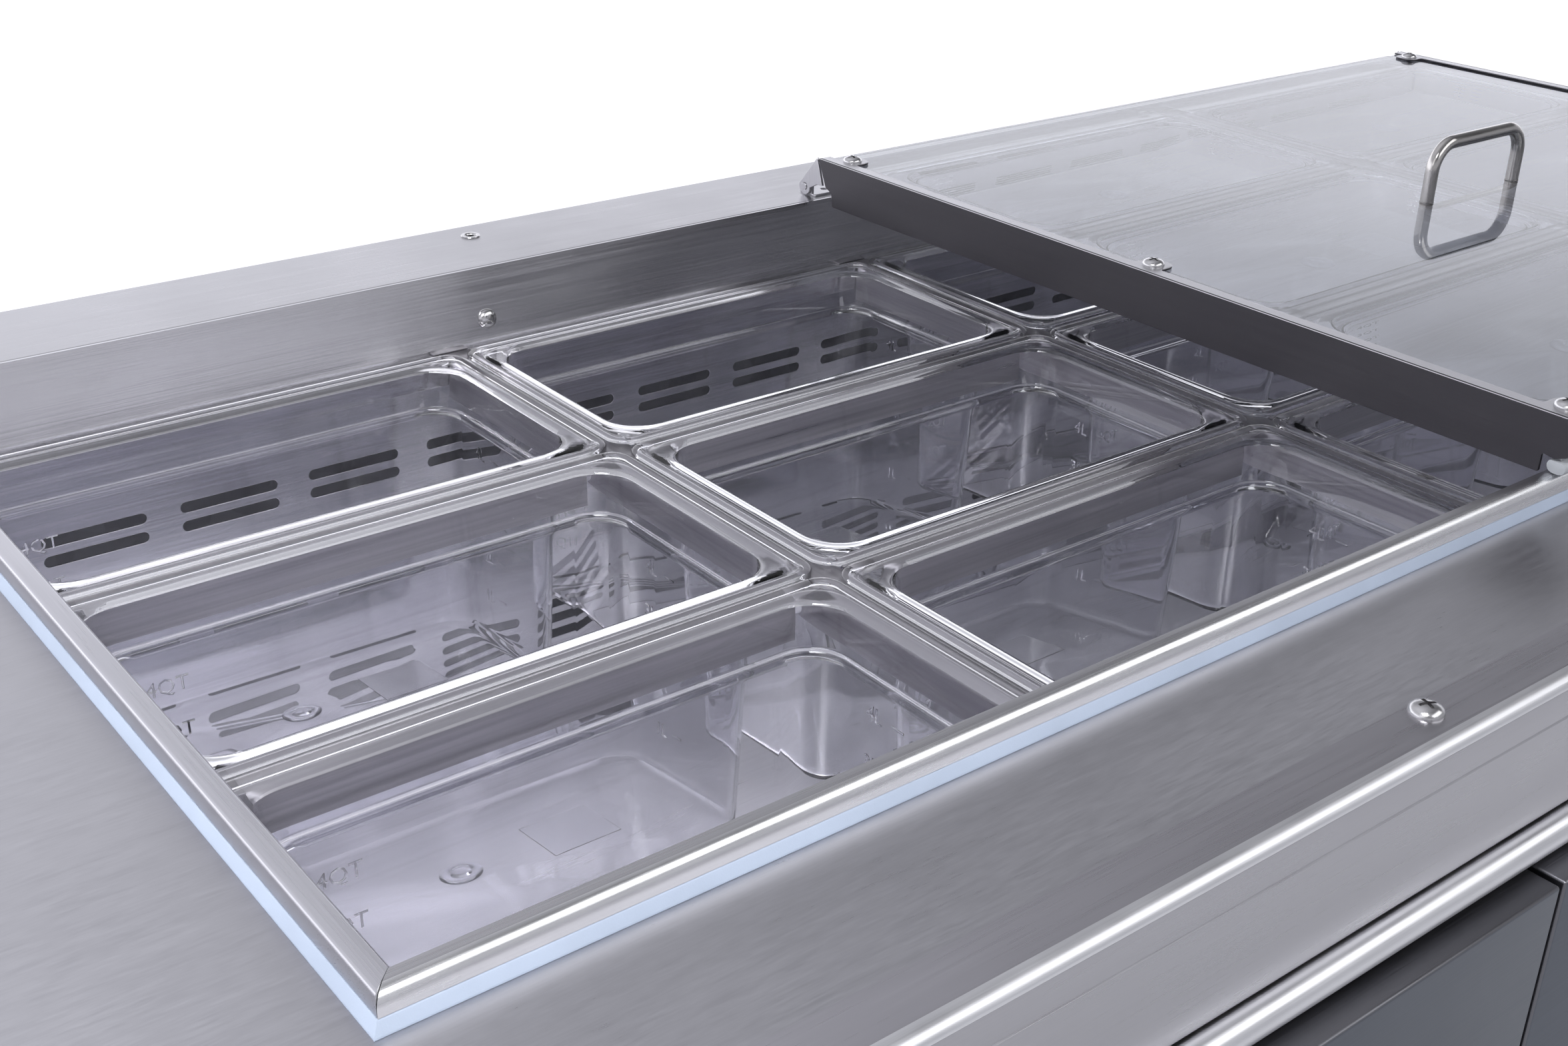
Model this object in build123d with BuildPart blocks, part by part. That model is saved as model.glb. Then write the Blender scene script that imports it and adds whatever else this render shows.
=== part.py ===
from build123d import *
from math import cos, radians, sin
import os

os.makedirs("parts", exist_ok=True)

# Refrigerated sandwich prep table. Millimetres, +Z up, origin on the floor at
# the centre of the footprint. -Y is the operator's side, with the doors.

# ---- driving dimensions -------------------------------------------------
LENGTH = 1790.0
DEPTH = 780.0
COUNTER_Z = 926.0            # working surface
PAN_Z = 896.0                # top of the pan lips
RIM_Z = 940.5                # raised rim and back ledge
BODY_Z = (150.0, 885.0)      # cabinet, under the foamed worktop
SHEET = 1.5                  # stainless sheet

PAN_PITCH_X = 328.0          # third-size pans, long side along X
PAN_PITCH_Y = 181.74
PAN_COLUMNS = 4
PAN_LIP = (325.4, 178.5)
PAN_BODY = (298.0, 152.0)
PAN_DEPTH = 150.0
PAN_WALL = 2.5
PAN_LIP_T = 3.0

WELL_X = (-522.0, 793.0)     # inside faces of the well
WELL_FRONT = -260.3
WELL_BACK = 298.5
RIM_WIDTH = 10.0
RIM_FOOT_Z = 931.0
LEDGE_FRONT = 306.8

DOOR_FRONT = -390.0
DOOR_Z = (165.0, 838.0)
DOOR_EDGES = [(-510.0, -54.0), (-50.0, 406.0), (410.0, 866.0)]
DOOR_HINGE_LEFT = [True, False, False]
DOOR_THICK = 44.0
GASKET_THICK = 10.0
FRAME_FRONT = -335.5
HINGE_Y = -384.0
HINGE_X = [low + 8 if left else high - 8 for (low, high), left in zip(DOOR_EDGES, DOOR_HINGE_LEFT)]
HINGE_PIN_R = 3.0

HOOD_X = (105.0, 789.5)      # outside faces of the hood's end plates
HOOD_TOP = 970.4
HOOD_PIVOT = (322.5, 947.0)  # Y and Z of the hood's hinge pins
GLASS_T = 5.8
FLANGE_T = 1.6
HANDLE_X = 432.0
HANDLE_Y = 0.8
HANDLE_SPAN = 101.0
HANDLE_ROD_R = 4.5
HOOD_SCREW_Y = (288.4, 10.5, -258.5)
HOOD_SCREW_INSET = 15.0

CASTER_XY = [(-820.0, -290.0), (820.0, -290.0), (-820.0, 300.0), (820.0, 300.0)]
CASTER_TRAIL = 35.0
WHEEL_R = 50.0

HALF_L = LENGTH / 2
HALF_D = DEPTH / 2
COLUMN_X = [WELL_X[0] - 1 + PAN_PITCH_X * (k + 0.5) for k in range(PAN_COLUMNS)]
ROW_Y = [110.5 + PAN_PITCH_Y * (0.5 - k) for k in range(3)]
BAR_X = [COLUMN_X[k] + PAN_PITCH_X / 2 for k in range(PAN_COLUMNS - 1)]
BAR_Y = [ROW_Y[k] - PAN_PITCH_Y / 2 for k in range(2)]


# ---- helpers ------------------------------------------------------------
def slab(x, y, z, mode=Mode.ADD):
    """A box between two corners, given as (low, high) pairs."""
    middle = ((x[0] + x[1]) / 2, (y[0] + y[1]) / 2, (z[0] + z[1]) / 2)
    with Locations(middle):
        Box(x[1] - x[0], y[1] - y[0], z[1] - z[0], mode=mode)


def save(part, name):
    part.label = name
    export_step(part, f"parts/{name}.step")


def along_x(points, x, mode=Mode.ADD):
    """A YZ outline carried from x[0] to x[1]."""
    with BuildSketch(Plane.YZ.offset(x[0])) as outline:
        with BuildLine():
            Polyline(*points, close=True)
        make_face()
    extrude(outline.sketch, amount=x[1] - x[0], mode=mode)


def plain_box(name, x, y, z):
    with BuildPart() as piece:
        slab(x, y, z)
    save(piece.part, name)


# ---- insulated cabinet --------------------------------------------------
BAY_PARTITION = (-570.0, -530.0)
RIGHT_WALL = (845.0, HALF_L)
LEFT_WALL = (-HALF_L, -875.0)
BACK_WALL = (350.0, HALF_D)
FLOOR_TOP = 190.0

with BuildPart() as cabinet_floor:
    slab((-HALF_L, HALF_L), (-335.0, HALF_D), (BODY_Z[0], FLOOR_TOP))
    # the doors' lower hinge plates, each with its pin
    for x in HINGE_X:
        slab((x - 10, x + 10), (HINGE_Y - 5, -335.0), (DOOR_Z[0] - 7, DOOR_Z[0] - 3))
        with Locations((x, HINGE_Y, DOOR_Z[0] - 3)):
            Cylinder(HINGE_PIN_R, 17, align=(Align.CENTER, Align.CENTER, Align.MIN))
save(cabinet_floor.part, "cabinet_floor")
plain_box("left_side_panel", LEFT_WALL, (-335.0, BACK_WALL[0]), (FLOOR_TOP, BODY_Z[1]))
plain_box("right_side_panel", RIGHT_WALL, (-315.0, BACK_WALL[0]), (FLOOR_TOP, BODY_Z[1]))
plain_box("bay_partition", BAY_PARTITION, (-315.0, BACK_WALL[0]), (FLOOR_TOP, BODY_Z[1]))

CORD_XZ = (-760.0, 240.0)
with BuildPart() as back_panel:
    slab((-HALF_L, HALF_L), BACK_WALL, (FLOOR_TOP, BODY_Z[1]))
    with BuildSketch(Plane.XZ.offset(-HALF_D)) as recess:
        with Locations(CORD_XZ):
            Circle(30)
    extrude(recess.sketch, amount=14, mode=Mode.SUBTRACT)
save(back_panel.part, "back_panel")

FRAME_Y = (FRAME_FRONT, -315.0)
MULLIONS = [(-570.0, -488.0), (-74.0, -30.0), (386.0, 430.0), (844.0, HALF_L)]
with BuildPart() as door_frame:
    slab((-570, HALF_L), FRAME_Y, (816, BODY_Z[1]))
    slab((-570, HALF_L), FRAME_Y, (FLOOR_TOP, 205))
    for mullion in MULLIONS:
        slab(mullion, FRAME_Y, (FLOOR_TOP, BODY_Z[1]))
    # the doors' upper hinge plates, each with its pin
    for x in HINGE_X:
        slab((x - 10, x + 10), (HINGE_Y - 5, FRAME_Y[0]), (DOOR_Z[1] + 1.8, DOOR_Z[1] + 4.6))
        with Locations((x, HINGE_Y, DOOR_Z[1] + 1.8)):
            Cylinder(HINGE_PIN_R, 16, align=(Align.CENTER, Align.CENTER, Align.MAX))
save(door_frame.part, "door_frame")

# ---- worktop ------------------------------------------------------------
TOP_FRONT = -366.0
APRON_FOOT = 861.0
with BuildPart() as counter_deck:
    slab((-HALF_L, HALF_L), (TOP_FRONT, HALF_D), (BODY_Z[1], COUNTER_Z))
    slab((WELL_X[0] - 1.7, WELL_X[1] + 1.7), (WELL_FRONT - 1.7, 309.0),
         (BODY_Z[1] - 1, COUNTER_Z + 1), mode=Mode.SUBTRACT)
    apron = [(TOP_FRONT, 921.8), (-369.4, 921.8), (-370, 898), (-371.3, APRON_FOOT), (TOP_FRONT, APRON_FOOT)]
    along_x(apron, (-HALF_L, HALF_L))
save(counter_deck.part, "counter_deck")

with BuildPart() as front_strip:
    slab((-HALF_L, HALF_L), (-370.0, -342.7), (COUNTER_Z, COUNTER_Z + SHEET))
    slab((-HALF_L, HALF_L), (-370.0, TOP_FRONT), (922.0, COUNTER_Z + SHEET))
    nose = front_strip.edges().filter_by(Axis.X).group_by(Axis.Z)[-1].sort_by(Axis.Y)[0]
    fillet(nose, 3.0)
save(front_strip.part, "front_strip")

NOSE_R = 7.6
NOSE_YZ = (-373.5, 851.0)
with BuildPart() as nose_rail:
    with BuildSketch(Plane.YZ.offset(-HALF_L)) as nose_section:
        with Locations(NOSE_YZ):
            Circle(NOSE_R)
        with Locations(((NOSE_YZ[0] + FRAME_FRONT) / 2, NOSE_YZ[1])):
            Rectangle(FRAME_FRONT - NOSE_YZ[0], 9)
        with Locations((FRAME_FRONT - 1, 865.5)):
            Rectangle(2, 38)
    extrude(amount=LENGTH)
save(nose_rail.part, "nose_rail")

# the raised box behind the well, full length
with BuildPart() as back_ledge:
    slab((-HALF_L, HALF_L), (308.4, HALF_D), (COUNTER_Z, RIM_Z))
    with Locations(*[(x, 368.0, RIM_Z - 5) for x in (-680, -140, 400)]):
        Cylinder(5.0, 10.1, mode=Mode.SUBTRACT)
    for x in (WELL_X[0] - RIM_WIDTH - 0.2, WELL_X[1] + RIM_WIDTH + 0.2):
        outer = -HALF_L if x < 0 else HALF_L
        slab((min(x, outer), max(x, outer)), (306.8, 308.4), (COUNTER_Z, RIM_Z))
save(back_ledge.part, "back_ledge")

# ---- well ---------------------------------------------------------------
LINER_FOOT = 663.5
SHELF_TOP = 891.4
with BuildPart() as well_liner:
    slab((WELL_X[0] - SHEET, WELL_X[1] + SHEET), (WELL_FRONT - SHEET, 298.0), (LINER_FOOT, LINER_FOOT + SHEET))
    slab((WELL_X[0] - SHEET, WELL_X[1] + SHEET), (WELL_FRONT - SHEET, WELL_FRONT), (LINER_FOOT, RIM_FOOT_Z))
    slab((WELL_X[0] - SHEET, WELL_X[0]), (WELL_FRONT, 296.0), (LINER_FOOT, RIM_FOOT_Z))
    slab((WELL_X[1], WELL_X[1] + SHEET), (WELL_FRONT, 296.0), (LINER_FOOT, RIM_FOOT_Z))
    slab(WELL_X, (WELL_FRONT, -240.5), (SHELF_TOP - SHEET, SHELF_TOP))
    slab((WELL_X[0], WELL_X[0] + 12), (WELL_FRONT, 296.0), (SHELF_TOP - SHEET, SHELF_TOP))
    slab((WELL_X[1] - 15, WELL_X[1]), (WELL_FRONT, 296.0), (SHELF_TOP - SHEET, SHELF_TOP))
save(well_liner.part, "well_liner")

SLOT_PITCH = 80.3
SLOT_FIRST_X = -428.0
SLOT_Z = (836.0, 824.0, 719.0, 707.0, 695.0, 683.0)
with BuildPart() as air_duct_panel:
    foot = LINER_FOOT + SHEET
    wall = [(298.5, foot), (298.5, PAN_Z), (306.8, RIM_Z), (308.3, RIM_Z), (300, PAN_Z), (300, foot)]
    along_x(wall, WELL_X)
    slab((WELL_X[0] + 12.2, WELL_X[1] - 15.2), (280.5, 298.5), (SHELF_TOP - SHEET, SHELF_TOP))
    with BuildSketch(Plane.XZ.offset(-302)):
        for z in SLOT_Z:
            with Locations(*[(SLOT_FIRST_X + SLOT_PITCH * k, z) for k in range(15)]):
                SlotOverall(60, 6.6)
    extrude(amount=6, mode=Mode.SUBTRACT)
save(air_duct_panel.part, "air_duct_panel")

with BuildPart() as rim_frame:
    slab((WELL_X[0] - RIM_WIDTH, WELL_X[1] + RIM_WIDTH), (WELL_FRONT - RIM_WIDTH, WELL_FRONT), (RIM_FOOT_Z, RIM_Z))
    slab((WELL_X[0] - RIM_WIDTH, WELL_X[0]), (WELL_FRONT + 0.2, 308.0), (RIM_FOOT_Z, RIM_Z))
    slab((WELL_X[1], WELL_X[1] + RIM_WIDTH), (WELL_FRONT + 0.2, 308.0), (RIM_FOOT_Z, RIM_Z))
    front_edge = rim_frame.edges().filter_by(Axis.X).group_by(Axis.Z)[-1].sort_by(Axis.Y)[0]
    fillet(front_edge, 3.5)
save(rim_frame.part, "rim_frame")

SEAL_WIDTH = RIM_WIDTH + 5.5
seal_inside = (WELL_X[0] - 1.7, WELL_X[1] + 1.7)
seal_outside = (WELL_X[0] - SEAL_WIDTH, WELL_X[1] + SEAL_WIDTH)
seal_z = (COUNTER_Z, RIM_FOOT_Z)
with BuildPart() as rim_gasket:
    slab(seal_outside, (WELL_FRONT - SEAL_WIDTH, WELL_FRONT - 1.7), seal_z)
    slab((seal_outside[0], seal_inside[0]), (WELL_FRONT - 1.5, 306.6), seal_z)
    slab((seal_inside[1], seal_outside[1]), (WELL_FRONT - 1.5, 306.6), seal_z)
save(rim_gasket.part, "rim_gasket")

# ---- divider bars: inverted channels ------------------------------------
BAR_TOP = 892.7
BAR_W = 24.0
BAR_SHEET = 1.2
BAR_DROP = 20.0
with BuildPart() as long_bars:
    for x in BAR_X:
        slab((x - BAR_W / 2, x + BAR_W / 2), (WELL_FRONT + 0.6, 297.5), (BAR_TOP - BAR_SHEET, BAR_TOP))
        for side in (x - BAR_W / 2, x + BAR_W / 2 - BAR_SHEET):
            slab((side, side + BAR_SHEET), (-239.5, 279.5), (BAR_TOP - BAR_DROP, BAR_TOP - BAR_SHEET))
save(long_bars.part, "long_bars")

with BuildPart() as cross_bars:
    for x in COLUMN_X:
        reach = PAN_PITCH_X / 2 - BAR_W / 2 - 0.8
        low = max(x - reach, WELL_X[0] + 0.5)
        high = min(x + reach, WELL_X[1] - 0.5)
        for y in BAR_Y:
            slab((low, high), (y - BAR_W / 2, y + BAR_W / 2), (BAR_TOP - BAR_SHEET, BAR_TOP))
            for side in (y - BAR_W / 2, y + BAR_W / 2 - BAR_SHEET):
                slab((x - reach + 14, x + reach - 16), (side, side + BAR_SHEET),
                     (BAR_TOP - BAR_DROP, BAR_TOP - BAR_SHEET))
save(cross_bars.part, "cross_bars")


# ---- pans ---------------------------------------------------------------
def pan_at(x, y):
    """A third-size pan: a lip, tapered walls and a floor."""
    with BuildSketch(Plane.XY.offset(PAN_Z)) as lip:
        with Locations((x, y)):
            RectangleRounded(*PAN_LIP, 12)
    extrude(lip.sketch, amount=-PAN_LIP_T)
    with BuildSketch(Plane.XY.offset(PAN_Z)) as outside:
        with Locations((x, y)):
            RectangleRounded(*PAN_BODY, 24)
    extrude(outside.sketch, amount=-PAN_DEPTH, taper=3)
    with BuildSketch(Plane.XY.offset(PAN_Z)) as inside:
        with Locations((x, y)):
            RectangleRounded(PAN_BODY[0] - 2 * PAN_WALL, PAN_BODY[1] - 2 * PAN_WALL, 24 - PAN_WALL)
    extrude(inside.sketch, amount=-(PAN_DEPTH - PAN_WALL), taper=3, mode=Mode.SUBTRACT)


for column, x in enumerate(COLUMN_X[:2], start=1):
    for row, y in zip("abc", ROW_Y):
        with BuildPart() as pan:
            pan_at(x, y)
        save(pan.part, f"pan_{row}{column}")

with BuildPart() as covered_pans:
    for x in COLUMN_X[2:]:
        for y in ROW_Y:
            pan_at(x, y)
save(covered_pans.part, "covered_pans")

# ---- glass hood ---------------------------------------------------------
GLASS_X = (HOOD_X[0] + 2.2, HOOD_X[1] - 2.2)
GLASS_Y = (-274.0, 306.0)
GLASS_Z = (HOOD_TOP - FLANGE_T - 0.2 - GLASS_T, HOOD_TOP - FLANGE_T - 0.2)
SCREW_X = (HOOD_X[0] + HOOD_SCREW_INSET, HOOD_X[1] - HOOD_SCREW_INSET)
SCREWS_XY = [(x, y) for x in SCREW_X for y in HOOD_SCREW_Y]
LEGS_XY = [(HANDLE_X - HANDLE_SPAN / 2, HANDLE_Y), (HANDLE_X + HANDLE_SPAN / 2, HANDLE_Y)]
with BuildPart() as hood_glass:
    slab(GLASS_X, GLASS_Y, GLASS_Z)
    with Locations(*[(x, y, GLASS_Z[0]) for x, y in SCREWS_XY]):
        Cylinder(3.4, 30, mode=Mode.SUBTRACT)
    with Locations(*[(x, y, GLASS_Z[0]) for x, y in LEGS_XY]):
        Cylinder(3.2, 30, mode=Mode.SUBTRACT)
save(hood_glass.part, "hood_glass")

END_PLATE = [
    (-275.5, HOOD_TOP), (-275.5, 957.0), (-271.5, 950.5), (-265.0, 948.0), (-258.3, 949.0), (-258.3, 938.8),
    (291.4, 938.8), (292.7, 948.6), (299.0, 951.0), (307.0, HOOD_TOP - 2),
    (307.0, HOOD_TOP),
]


def end_plate(outer_x, inward):
    """The plate that hangs in the well, with a tabbed flange over the glass."""
    inner_x = outer_x + 2 * inward
    along_x(END_PLATE, (min(outer_x, inner_x), max(outer_x, inner_x)))
    with BuildSketch(Plane.XY.offset(HOOD_TOP - FLANGE_T)) as flange:
        with Locations(((outer_x + inner_x) / 2 + 4 * inward, 15.75)):
            Rectangle(10, 582.5)
        for y in HOOD_SCREW_Y:
            with Locations((outer_x + HOOD_SCREW_INSET * inward, y)):
                Circle(10)
            with Locations((outer_x + HOOD_SCREW_INSET / 2 * inward, y)):
                Rectangle(HOOD_SCREW_INSET, 20)
        for y in HOOD_SCREW_Y:
            with Locations((outer_x + HOOD_SCREW_INSET * inward, y)):
                Circle(3.4, mode=Mode.SUBTRACT)
    extrude(flange.sketch, amount=FLANGE_T)


with BuildPart() as hood_end_left:
    end_plate(HOOD_X[0], 1)
save(hood_end_left.part, "hood_end_left")

with BuildPart() as hood_end_right:
    end_plate(HOOD_X[1], -1)
save(hood_end_right.part, "hood_end_right")

# a leg beside each end plate's back corner carries the hood on its pin
PIN_R = 2.5
FOOT_R = 6.0
FOOT = [(309.5, HOOD_TOP), (328.5, 946.2), (316.6, 946.2), (309.0, 951.0), (303.0, 951.5), (308.0, HOOD_TOP - 3)]
with BuildPart() as hood_feet:
    for x in (HOOD_X[0], HOOD_X[1] - 2):
        along_x(FOOT, (x, x + 2))
        with BuildSketch(Plane.YZ.offset(x)) as heel:
            with Locations(HOOD_PIVOT):
                Circle(FOOT_R)
        extrude(heel.sketch, amount=2)
        with BuildSketch(Plane.YZ.offset(x - 1)) as pin_hole:
            with Locations(HOOD_PIVOT):
                Circle(PIN_R + 0.06)
        extrude(pin_hole.sketch, amount=4, mode=Mode.SUBTRACT)
save(hood_feet.part, "hood_feet")

with BuildPart() as hinge_brackets:
    for foot_x, inward in ((HOOD_X[0], 1), (HOOD_X[1] - 2, -1)):
        face = foot_x + 2.5 if inward > 0 else foot_x - 0.5
        ear = (min(face, face + 2 * inward), max(face, face + 2 * inward))
        base = (min(face, face + 28 * inward), max(face, face + 28 * inward))
        slab(base, (314, 332), (RIM_Z, RIM_Z + 1.5))
        slab(ear, (317, 328), (RIM_Z, HOOD_PIVOT[1]))
        with BuildSketch(Plane.YZ.offset(ear[0])) as ear_top:
            with Locations(HOOD_PIVOT):
                Circle(5.5)
        extrude(ear_top.sketch, amount=2)
        with BuildSketch(Plane.YZ.offset(min(ear[0], foot_x - 1))) as pin:
            with Locations(HOOD_PIVOT):
                Circle(PIN_R)
        extrude(pin.sketch, amount=max(ear[1], foot_x + 3) - min(ear[0], foot_x - 1))
save(hinge_brackets.part, "hinge_brackets")

with BuildPart() as hood_screws:
    with Locations(*[(x, y, HOOD_TOP) for x, y in SCREWS_XY]):
        Cylinder(6.7, 3.5, align=(Align.CENTER, Align.CENTER, Align.MIN))
        Cylinder(3.0, 14, align=(Align.CENTER, Align.CENTER, Align.MAX))
    crowns = hood_screws.faces().sort_by(Axis.Z)[-6:].edges()
    fillet(crowns, 2.4)
    with Locations(*[(x, y, GLASS_Z[0] - 0.2) for x, y in SCREWS_XY]):
        Cylinder(5.5, 4, align=(Align.CENTER, Align.CENTER, Align.MAX))
save(hood_screws.part, "hood_screws")

HANDLE_RISE = 38.5
HANDLE_DROP = 27.5


def half_loop(z_seat, z_bar):
    """Half of the round-bar handle, from the glass out to its bar."""
    half = HANDLE_SPAN / 2
    corners = [(-half, z_seat), (-half, z_bar), (half, z_bar), (half, z_seat)]
    points = [(HANDLE_X + x, HANDLE_Y, z) for x, z in corners]
    with BuildLine() as path:
        FilletPolyline(*points, radius=18)
    with BuildSketch(Plane(origin=points[0], z_dir=(0, 0, z_bar - z_seat))) as rod:
        Circle(HANDLE_ROD_R)
    sweep(rod.sketch, path=path.line)


with BuildPart() as hood_handle:
    half_loop(GLASS_Z[1], GLASS_Z[1] + HANDLE_RISE)
    half_loop(GLASS_Z[0], GLASS_Z[0] - HANDLE_DROP)
    with Locations(*[(x, y, GLASS_Z[1] + 1) for x, y in LEGS_XY]):
        Cylinder(3.0, GLASS_T + 0.9, align=(Align.CENTER, Align.CENTER, Align.MAX))
save(hood_handle.part, "hood_handle")

with BuildPart() as hood_front_rail:
    slab(GLASS_X, (-268.0, -266.4), (947.2, GLASS_Z[0] - 0.1))
    slab(GLASS_X, (-266.4, -250.0), (GLASS_Z[0] - 1.7, GLASS_Z[0] - 0.1))
    with Locations(*[(x, -258.5, GLASS_Z[0]) for x in SCREW_X]):
        Cylinder(6.0, 8, mode=Mode.SUBTRACT)
save(hood_front_rail.part, "hood_front_rail")

with BuildPart() as hood_seal:
    slab(HOOD_X, (-272.0, -262.0), (940.8, 947.1))
    fillet(hood_seal.edges().filter_by(Axis.X), 2.0)
save(hood_seal.part, "hood_seal")


# ---- doors --------------------------------------------------------------
PULL_Z = (742.0, 786.0)
PULL_W = 150.0
for number, (low, high) in enumerate(DOOR_EDGES, start=1):
    middle = (low + high) / 2
    with BuildPart() as door:
        slab((low, high), (DOOR_FRONT, DOOR_FRONT + DOOR_THICK), DOOR_Z)
        slab((middle - PULL_W / 2, middle + PULL_W / 2), (DOOR_FRONT - 1, DOOR_FRONT + 22), PULL_Z,
             mode=Mode.SUBTRACT)
        with Locations(*[(HINGE_X[number - 1], HINGE_Y, z) for z in DOOR_Z]):
            Cylinder(HINGE_PIN_R + 0.06, 32, mode=Mode.SUBTRACT)
    save(door.part, f"door_{number}")
    gasket_y = (DOOR_FRONT + DOOR_THICK, DOOR_FRONT + DOOR_THICK + GASKET_THICK)
    with BuildPart() as gasket:
        slab((low + 8, high - 8), gasket_y, (DOOR_Z[0] + 32, DOOR_Z[1] - 6))
        slab((low + 26, high - 26), gasket_y, (DOOR_Z[0] + 50, DOOR_Z[1] - 24), mode=Mode.SUBTRACT)
    save(gasket.part, f"door_gasket_{number}")

# ---- wire shelves -------------------------------------------------------
SHELF_Z = 470.0
SHELF_X = [(-522.0, -60.0), (-44.0, 400.0), (416.0, 837.0)]
with BuildPart() as wire_shelves:
    for low, high in SHELF_X:
        for y in (-300.0, -10.0, 240.0):
            slab((low, high), (y - 4, y + 4), (SHELF_Z - 8, SHELF_Z))
        for x in (low + 3, high - 3):
            slab((x - 3, x + 3), (-304, 244), (SHELF_Z - 6, SHELF_Z))
        count = int((high - low - 30) // 42)
        for k in range(1, count + 1):
            x = low + (high - low) * k / (count + 1)
            slab((x - 2, x + 2), (-304, 244), (SHELF_Z - 2, SHELF_Z + 2))
save(wire_shelves.part, "wire_shelves")


# ---- casters ------------------------------------------------------------
KINGPIN_R = 6.0
AXLE_R = 5.0
with BuildPart() as caster_plates:
    for x, y in CASTER_XY:
        slab((x - 50, x + 50), (y - 42, y + 42), (145, BODY_Z[0]))
        with Locations((x, y, 145)):
            Cylinder(27, 6, align=(Align.CENTER, Align.CENTER, Align.MAX))
            Cylinder(KINGPIN_R, 20, align=(Align.CENTER, Align.CENTER, Align.MAX))
        with Locations((x, y, 127.5)):
            Cylinder(9, 3.5, align=(Align.CENTER, Align.CENTER, Align.MAX))
save(caster_plates.part, "caster_plates")

for number, (x, y) in enumerate(CASTER_XY, start=1):
    axle_y = y + CASTER_TRAIL
    with BuildPart() as fork:
        with Locations((x, y, 138.5)):
            Cylinder(29, 10, align=(Align.CENTER, Align.CENTER, Align.MAX))
        leg = [(y - 20, 130), (y + 26, 130), (axle_y + 12, WHEEL_R), (axle_y - 12, WHEEL_R - 6)]
        along_x(leg, (x - 22, x - 18))
        along_x(leg, (x + 18, x + 22))
        with BuildSketch(Plane.YZ.offset(x - 25)) as axle:
            with Locations((axle_y, WHEEL_R)):
                Circle(AXLE_R)
        extrude(axle.sketch, amount=50)
        with Locations((x, y, 128)):
            Cylinder(KINGPIN_R + 0.06, 40, mode=Mode.SUBTRACT)
    save(fork.part, f"caster_fork_{number}")

    with BuildPart() as wheel:
        with BuildSketch(Plane.YZ.offset(x - 15)) as tread:
            with Locations((axle_y, WHEEL_R)):
                Circle(WHEEL_R)
        extrude(tread.sketch, amount=30)
        fillet(wheel.edges().filter_by(GeomType.CIRCLE), 5)
        with BuildSketch(Plane.YZ.offset(x - 20)) as bore:
            with Locations((axle_y, WHEEL_R)):
                Circle(AXLE_R + 0.05)
        extrude(bore.sketch, amount=40, mode=Mode.SUBTRACT)
    save(wheel.part, f"caster_wheel_{number}")


# ---- refrigeration ------------------------------------------------------
def bladed_fan(x, z, y, radius, blades, bore_r):
    """A fan about +Y: a hub with pitched blades between y[0] and y[1]."""
    with BuildSketch(Plane.XZ.offset(-y[1])) as hub:
        with Locations((x, z)):
            Circle(radius * 0.24)
    extrude(hub.sketch, amount=y[1] - y[0])
    pitch = radians(28)
    for k in range(blades):
        turn = radians(360 * k / blades)
        along = (cos(turn), 0, sin(turn))
        facing = (-sin(turn) * sin(pitch), cos(pitch), cos(turn) * sin(pitch))
        with BuildSketch(Plane(origin=(x, (y[0] + y[1]) / 2, z), x_dir=along, z_dir=facing)) as blade:
            with Locations((radius * 0.58, 0)):
                RectangleRounded(radius * 0.76, radius * 0.5, radius * 0.1)
        extrude(blade.sketch, amount=0.8, both=True)
    with BuildSketch(Plane.XZ.offset(-y[1] - 1)) as bore:
        with Locations((x, z)):
            Circle(bore_r)
    extrude(bore.sketch, amount=y[1] - y[0] + 2, mode=Mode.SUBTRACT)


def finned_coil(x, y, z, fins):
    """A heat exchanger: two end plates, fins and three rows of tube."""
    slab((x[0], x[0] + 3), y, z)
    slab((x[1] - 3, x[1]), y, z)
    for k in range(1, fins):
        at = x[0] + (x[1] - x[0]) * k / fins
        slab((at - 1, at + 1), (y[0] + 1, y[1] - 1), (z[0] + 2, z[1] - 2))
    middle_y = (y[0] + y[1]) / 2
    for k in range(5):
        tube_z = z[0] + (z[1] - z[0]) * (k + 0.5) / 5
        with BuildSketch(Plane.YZ.offset(x[0])) as tube:
            with Locations((middle_y, tube_z)):
                Circle(5)
        extrude(tube.sketch, amount=x[1] - x[0])


EVAPORATOR_X = (-500.0, -120.0)
EVAPORATOR_Z = (478.0, 643.0)
FAN_AT = (-310.0, 560.0)
with BuildPart() as evaporator_coil:
    finned_coil(EVAPORATOR_X, (304, 348), EVAPORATOR_Z, 30)
save(evaporator_coil.part, "evaporator_coil")

with BuildPart() as evaporator_cover:
    slab((-506, -114), (262, 349.5), (468, 653))
    slab((-504, -116), (264, 350), (470, 651), mode=Mode.SUBTRACT)
    with BuildSketch(Plane.XZ.offset(-266)) as mouth:
        with Locations(FAN_AT):
            Circle(66)
    extrude(mouth.sketch, amount=6, mode=Mode.SUBTRACT)
    slab((FAN_AT[0] - 5, FAN_AT[0] + 5), (296, 300), (470, 651))
    with BuildSketch(Plane.XZ.offset(-297)) as motor:
        with Locations(FAN_AT):
            Circle(18)
    extrude(motor.sketch, amount=8)
    with BuildSketch(Plane.XZ.offset(-296)) as shaft:
        with Locations(FAN_AT):
            Circle(3)
    extrude(shaft.sketch, amount=27)
save(evaporator_cover.part, "evaporator_cover")

with BuildPart() as evaporator_fan:
    bladed_fan(FAN_AT[0], FAN_AT[1], (268.5, 287.5), 58, 5, 3.05)
save(evaporator_fan.part, "evaporator_fan")

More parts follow.
